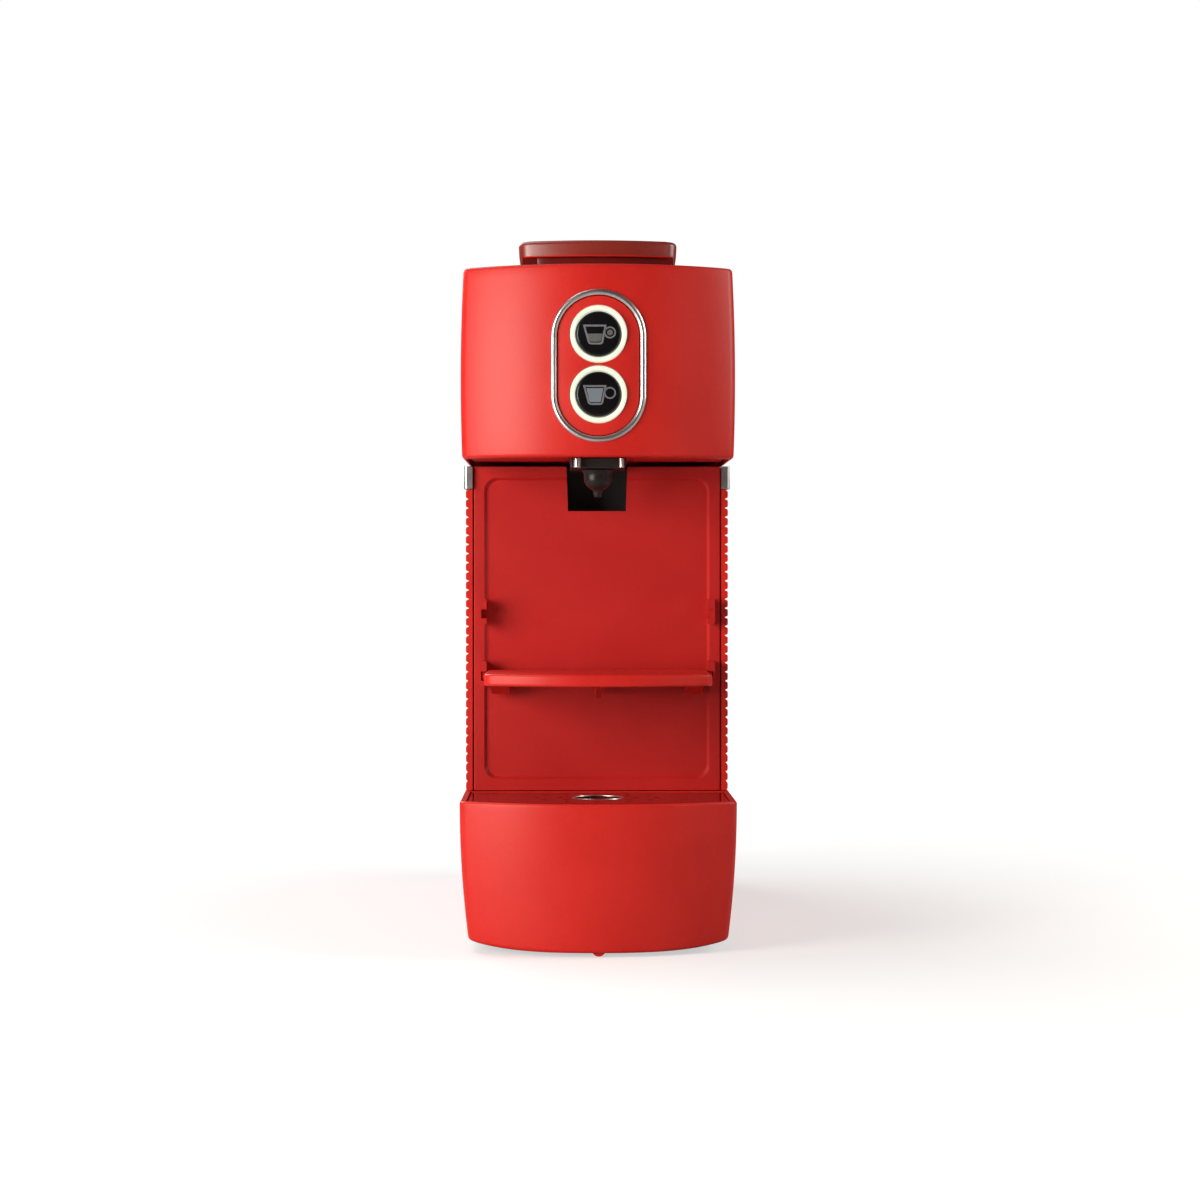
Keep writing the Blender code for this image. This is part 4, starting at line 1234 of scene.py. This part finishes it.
# %% Spout, block, posts and liner
SPOUT_SECTION = (
    (5.8, 174.2), (5.7, 173.8), (5.25, 173.2), (5.1, 172.2), (5.1, 171.0), (5.0, 170.2),
    (4.7, 169.5), (4.25, 168.7), (3.6, 168.0), (2.8, 167.4), (2.1, 167.0), (1.75, 166.5),
    (1.6, 165.6), (1.45, 164.6), (1.3, 164.4), (0.8, 164.4), (0.8, 167.6), (3.4, 169.8),
    (4.2, 171.6), (4.2, 174.2),
)
spout = turned("coffee_nozzle", SPOUT_SECTION, (0, SPOUT_Y, 0), steps=48)
finished(spout, black_spout, "machine", "coffee_spout", degrees=50)

outlet = block("outlet_block", (-10.2, 10.2), (-105.5, -72), (174.6, 178.3))
pick("EDGE", lambda place, along: place.z < 178)
round_edge(0.7, 3)
finished(outlet, black_matt, "machine", "spout_body")

for node, x, radius in (("left_group_post", -7.5, 1.45), ("right_group_post", 8.6, 0.95)):
    section = (
        (0, 0), (radius * 0.7, 0), (radius * 0.92, 0.12), (radius, 0.4), (radius, 3.4), (0, 3.5),
    )
    post = turned(node + "_pin", section, (x, -107.3, 174.8), steps=32)
    finished(post, chrome, "machine", node)

liner = block("recess_liner", (-13.5, 13.5), (-65.7, -48), (157.5, 176.4))
cut_away(liner, block("liner_hollow", (-11.9, 11.9), (-70, -49.6), (159.2, 180)))
finished(liner, black_matt, "machine", "spout_recess")

# %% [markdown]
# ## Water tank and lid
# The tank fills the back of the machine. Its outline is raised to the full height, the inside
# is inset and pushed down, and the foot is made the same way from below. Its two front edges
# are rounded last, so that the insets stay clean. The lid has a thumb notch and a collar that
# drops into the tank.

# %% The water tank
TANK_HALF, TANK_FRONT, TANK_BACK, TANK_CORNER = 49.4, 66.6, 135.0, 20.0
TANK_FOOT, TANK_RIM, TANK_WALL = 54.9, 244.6, 2.0
TANK_FLOOR = (60.5, 62.5)
tank = rear_outline("clear_tank", TANK_HALF, TANK_FRONT, TANK_BACK, TANK_CORNER, TANK_FOOT)
raised(TANK_RIM - TANK_FOOT)
pick("FACE", lambda place, facing: facing.z > 0.9)
inset_by(TANK_WALL)
draw_out(z=TANK_FLOOR[1] - TANK_RIM)
pick("FACE", lambda place, facing: facing.z < -0.9 and place.z < TANK_FOOT + 1)
inset_by(TANK_WALL)
draw_out(z=TANK_FLOOR[0] - TANK_FOOT)
pick("EDGE", lambda place, along: abs(place.y - TANK_FRONT) < 0.01 and abs(along.z) > 0.9)
round_edge(1.2, 4)
cut_away(tank, rod("tank_outlet", (0, 98, 61), 10, 3.2))
finished(tank, smoked, "tank", "water_tank")

# %% The tank's lid
LID_BOTTOM, LID_TOP = 244.9, 247.5
lid = rear_outline("lid_plate", TANK_HALF, TANK_FRONT, TANK_BACK, TANK_CORNER, LID_BOTTOM)
raised(LID_TOP - LID_BOTTOM)
pick("EDGE", lambda place, along: place.z > LID_TOP - 0.1)
round_edge(0.9, 4)
collar = rear_outline("lid_collar", 47.0, 69.0, 132.6, 17.6, 239.0)
raised(6.9)
lid_hollow = rear_outline("lid_hollow", 45.2, 70.8, 130.8, 15.8, 230.0)
raised(15.1)
notch = block("thumb_notch", (-14, 14), (108, 122), (246.3, 250))
pick("EDGE", lambda place, along: abs(along.z) > 0.9)
round_edge(5.0, 6)
pick("EDGE", lambda place, along: place.z < 246.4)
round_edge(0.8, 3)
join_on(lid, collar)
cut_away(lid, lid_hollow, notch)
finished(lid, red_body, "lid", "tank_lid")

# %% [markdown]
# ## Mains inlet and switch
# At the back of the base are a socket for the mains lead and a rocker switch, each with a thin
# rim that stands on the housing. The rocker's face is two slopes that meet in the middle.


# %% The inlet and the switch
def rimmed(name, body_x, body_z, rim_x, rim_z, corner):
    """A block that ends in a thin rim with round corners."""
    body = block(name, body_x, (112, 134.6), body_z)
    rim = block(name + "_rim", rim_x, (134.1, 135.0), rim_z)
    pick("EDGE", lambda place, along: abs(along.y) > 0.9)
    round_edge(corner, 5)
    pick("EDGE", lambda place, along: place.y > 134.9)
    round_edge(0.3, 2)
    join_on(body, rim)
    return body


inlet = rimmed("mains_inlet", (-33, -5), (18, 38), (-35, -3), (16, 40), 2.0)
socket = block("socket", (-31, -7), (119, 140), (20, 36))
pick("EDGE", lambda place, along: abs(along.y) > 0.9 and place.z > 30)
round_edge(4.0, 4)
cut_away(inlet, socket)
for i, (x, z) in enumerate(((-25, 25.5), (-13, 25.5), (-19, 27.5))):
    join_on(inlet, block(f"pin_{i}", (x - 1, x + 1), (116, 131), (z - 2, z + 2)))
finished(inlet, black_matt, "machine", "power_inlet")

switch = rimmed("switch_rim", (12, 28), (17, 39), (10.5, 29.5), (15.5, 40.5), 1.5)
cut_away(switch, block("switch_well", (13.6, 26.4), (121, 140), (18.6, 37.4)))
finished(switch, black_matt, "machine", "switch_frame")

rocker = upright_plate("switch_rocker", [
    (134.2, 36.2), (132.6, 28.0), (133.4, 19.8), (126.0, 19.8), (123.0, 28.0), (126.0, 36.2),
], (14.0, 26.0))
pick("EDGE", lambda place, along: place.y > 132)
round_edge(0.4, 3)
finished(rocker, black_cap, "rocker", "power_rocker")

# %% [markdown]
# ## Pod chamber
# With the lever open, the chamber shows: an aluminium cup for the pod, and above it, under the
# lever, the piston with its seal and the steel screen that the water comes through.

# %% Chamber, piston and screen
POD_SECTION = (
    (25.0, 244.4), (25.8, 244.3), (26.5, 243.6), (26.5, 228.0), (12.0, 222.0), (3.0, 222.0),
    (3.0, 226.0), (21.0, 226.6), (21.0, 228.6), (24.0, 228.6), (24.0, 242.6), (24.3, 243.8),
)
chamber = turned("pod_chamber", POD_SECTION, (0, POD_Y, 0), steps=72)
finished(chamber, aluminium, "machine", "pod_holder")

PISTON_SECTION = (
    (0, 249.1), (20, 249.1), (21.6, 248.5), (22.3, 247), (22.3, 242.6), (21.2, 242.6),
    (21.2, 240.4), (20.8, 239.6), (0, 239.6),
)
piston = turned("piston", PISTON_SECTION, (0, POD_Y, 0), steps=72)
finished(piston, black_matt, "lever", "brew_piston")


def six_holes(piece, z, radius):
    for i in range(6):
        angle = math.pi * i / 3
        place = (11 * math.cos(angle), POD_Y + 11 * math.sin(angle), z)
        cut_away(piece, rod(f"screen_hole_{i}", place, 6, radius, sides=24))


screen = turned(
    "water_screen", ((0, 239.3), (19.6, 239.3), (19.6, 238.5), (19.3, 238.2), (0, 238.2)),
    (0, POD_Y, 0), steps=72,
)
six_holes(screen, 238.8, 1.0)
finished(screen, steel, "lever", "shower_screen")

# %% [markdown]
# ## Parts kept from the model
# Hoses, the pump, the boiler and other inner parts already have the right shape. They keep
# their own mesh and only get a finish, chosen by what each is made of.

# %% Finishes for the kept parts
KEPT = {
    # The underside of the head takes the darker copy of the satin red: painted shade.
    red_in_painted_shade: ("head_floor",),
    red_gloss: ("lever_frame",),
    black_matt: ("lever_hinge_block", "outlet_tube", "rear_bulkhead", "tank_coupling",
                 "flow_meter"),
    steel: ("lever_hinge_pin", "lever_catch", "filter_plate", "boiler_thermostat"),
    aluminium: ("boiler",),
    brass: ("pump_cylinder",),
    coil_tape: ("pump_coil",),
    rubber: ("pump_cradle",),
    silicone: ("suction_hose", "pump_feed_hose", "pressure_hose", "boiler_hose",
               "lever_water_pipe", "piston_seal", "tank_valve"),
    board_green: ("control_board", "power_board"),
}
kept_count = 0
for finish, names in KEPT.items():
    for name in names:
        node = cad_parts[name]
        for slot in node.material_slots:
            slot.link = "OBJECT"
            slot.material = finish.material
        kept_count += 1
print("kept parts given a finish:", kept_count)

# %% [markdown]
# ## Floor, light and camera
# The machine stands on a wide pale floor. It fades to white further out, so that it has no
# horizon: the fade is a faint glow of the floor, seen only by the camera, so it adds no light to
# the machine. One soft light from the front left does most of the work and gives the red its
# gradient. Weaker ones at the right lift the darker side and its edge, and two more, from above
# and from behind, keep the top and the back from going dark.

# %% The floor
bpy.data.objects.remove(face_form)
nothing_selected()
bpy.ops.mesh.primitive_circle_add(vertices=64, radius=30, fill_type="NGON", location=(0, 0, 0))
floor = open_piece("pale_floor")
pick_all()
bpy.ops.mesh.inset(thickness=12)
bpy.ops.mesh.inset(thickness=12)
nothing_selected()

floor_finish = Finish("pale_floor", "", 0.6, Specular_IOR_Level=0.1, Emission_Strength=1.0)
floor_cloud = floor_finish.noise(300.0, 1.0)
floor_finish.feed(
    "Base Color", floor_finish.colours(floor_cloud, (0.48, 0.48, 0.48), (0.52, 0.52, 0.52))
)
distance = floor_finish.node(
    "ShaderNodeVectorMath", {"operation": "LENGTH"}, {0: floor_finish.place}, output="Value"
)
seen_floor = floor_finish.node("ShaderNodeLightPath", output="Is Camera Ray")
FADE_START, FADE_END, NEAR_LEVEL = 0.15, 0.85, 0.55
fade = floor_finish.contrast(distance, FADE_START, FADE_END)
floor_level = (fade * (1 - NEAR_LEVEL) + NEAR_LEVEL) * seen_floor
floor_finish.feed("Emission Color", floor_finish.colours(floor_level, (0, 0, 0), (1, 1, 1)))
floor.data.materials.append(floor_finish.material)


# %% Lights and surroundings
def soft_light(name, place, aim, size, power, colour=(1, 1, 1)):
    """A rectangular light at a place in metres, turned to face the aim."""
    lamp = bpy.data.lights.new(name, "AREA")
    lamp.shape = "RECTANGLE"
    lamp.size, lamp.size_y = size
    lamp.energy = power
    lamp.color = colour
    obj = bpy.data.objects.new(name, lamp)
    bpy.context.scene.collection.objects.link(obj)
    obj.location = place
    obj.rotation_euler = (Vector(aim) - Vector(place)).to_track_quat("-Z", "Y").to_euler()
    return obj


WARM = (1.0, 0.94, 0.85)
soft_light("main_light", (-0.66, -0.62, 0.26), (0, -0.10, 0.13), (0.50, 0.46), 8.5, WARM)
soft_light("fill_light", (0.66, -0.70, 0.30), (0, -0.10, 0.13), (0.25, 0.60), 0.5, WARM)
soft_light("edge_light", (0.70, -0.10, 0.42), (0.03, -0.08, 0.12), (0.30, 0.40), 3.0, WARM)
soft_light("top_light", (-0.40, 0.10, 1.15), (0, 0, 0.1), (0.45, 0.45), 3.0)
soft_light("back_light", (-0.50, 0.75, 0.70), (0, 0.05, 0.12), (0.60, 0.60), 5.0)

world = bpy.data.worlds.new("pale_room")
bpy.context.scene.world = world
world.use_nodes = True
tree = world.node_tree
seen = tree.nodes.new("ShaderNodeLightPath")
background = tree.nodes["Background"]
background.inputs["Color"].default_value = (1, 1, 1, 1)
level = tree.nodes.new("ShaderNodeMapRange")
level.inputs["To Min"].default_value = 0.07
level.inputs["To Max"].default_value = 1.0
tree.links.new(seen.outputs["Is Camera Ray"], level.inputs["Value"])
tree.links.new(level.outputs["Result"], background.inputs["Strength"])
bpy.context.scene.view_settings.view_transform = "Standard"

# %% The camera
camera = bpy.data.cameras.new("camera")
camera.lens = 83.9
camera.sensor_width = 36
camera_object = bpy.data.objects.new("camera", camera)
bpy.context.scene.collection.objects.link(camera_object)
camera_object.location = (-0.011, -1.124, 0.134)
camera_object.rotation_euler = (math.radians(89.59), 0, math.radians(-0.66))
bpy.context.scene.camera = camera_object
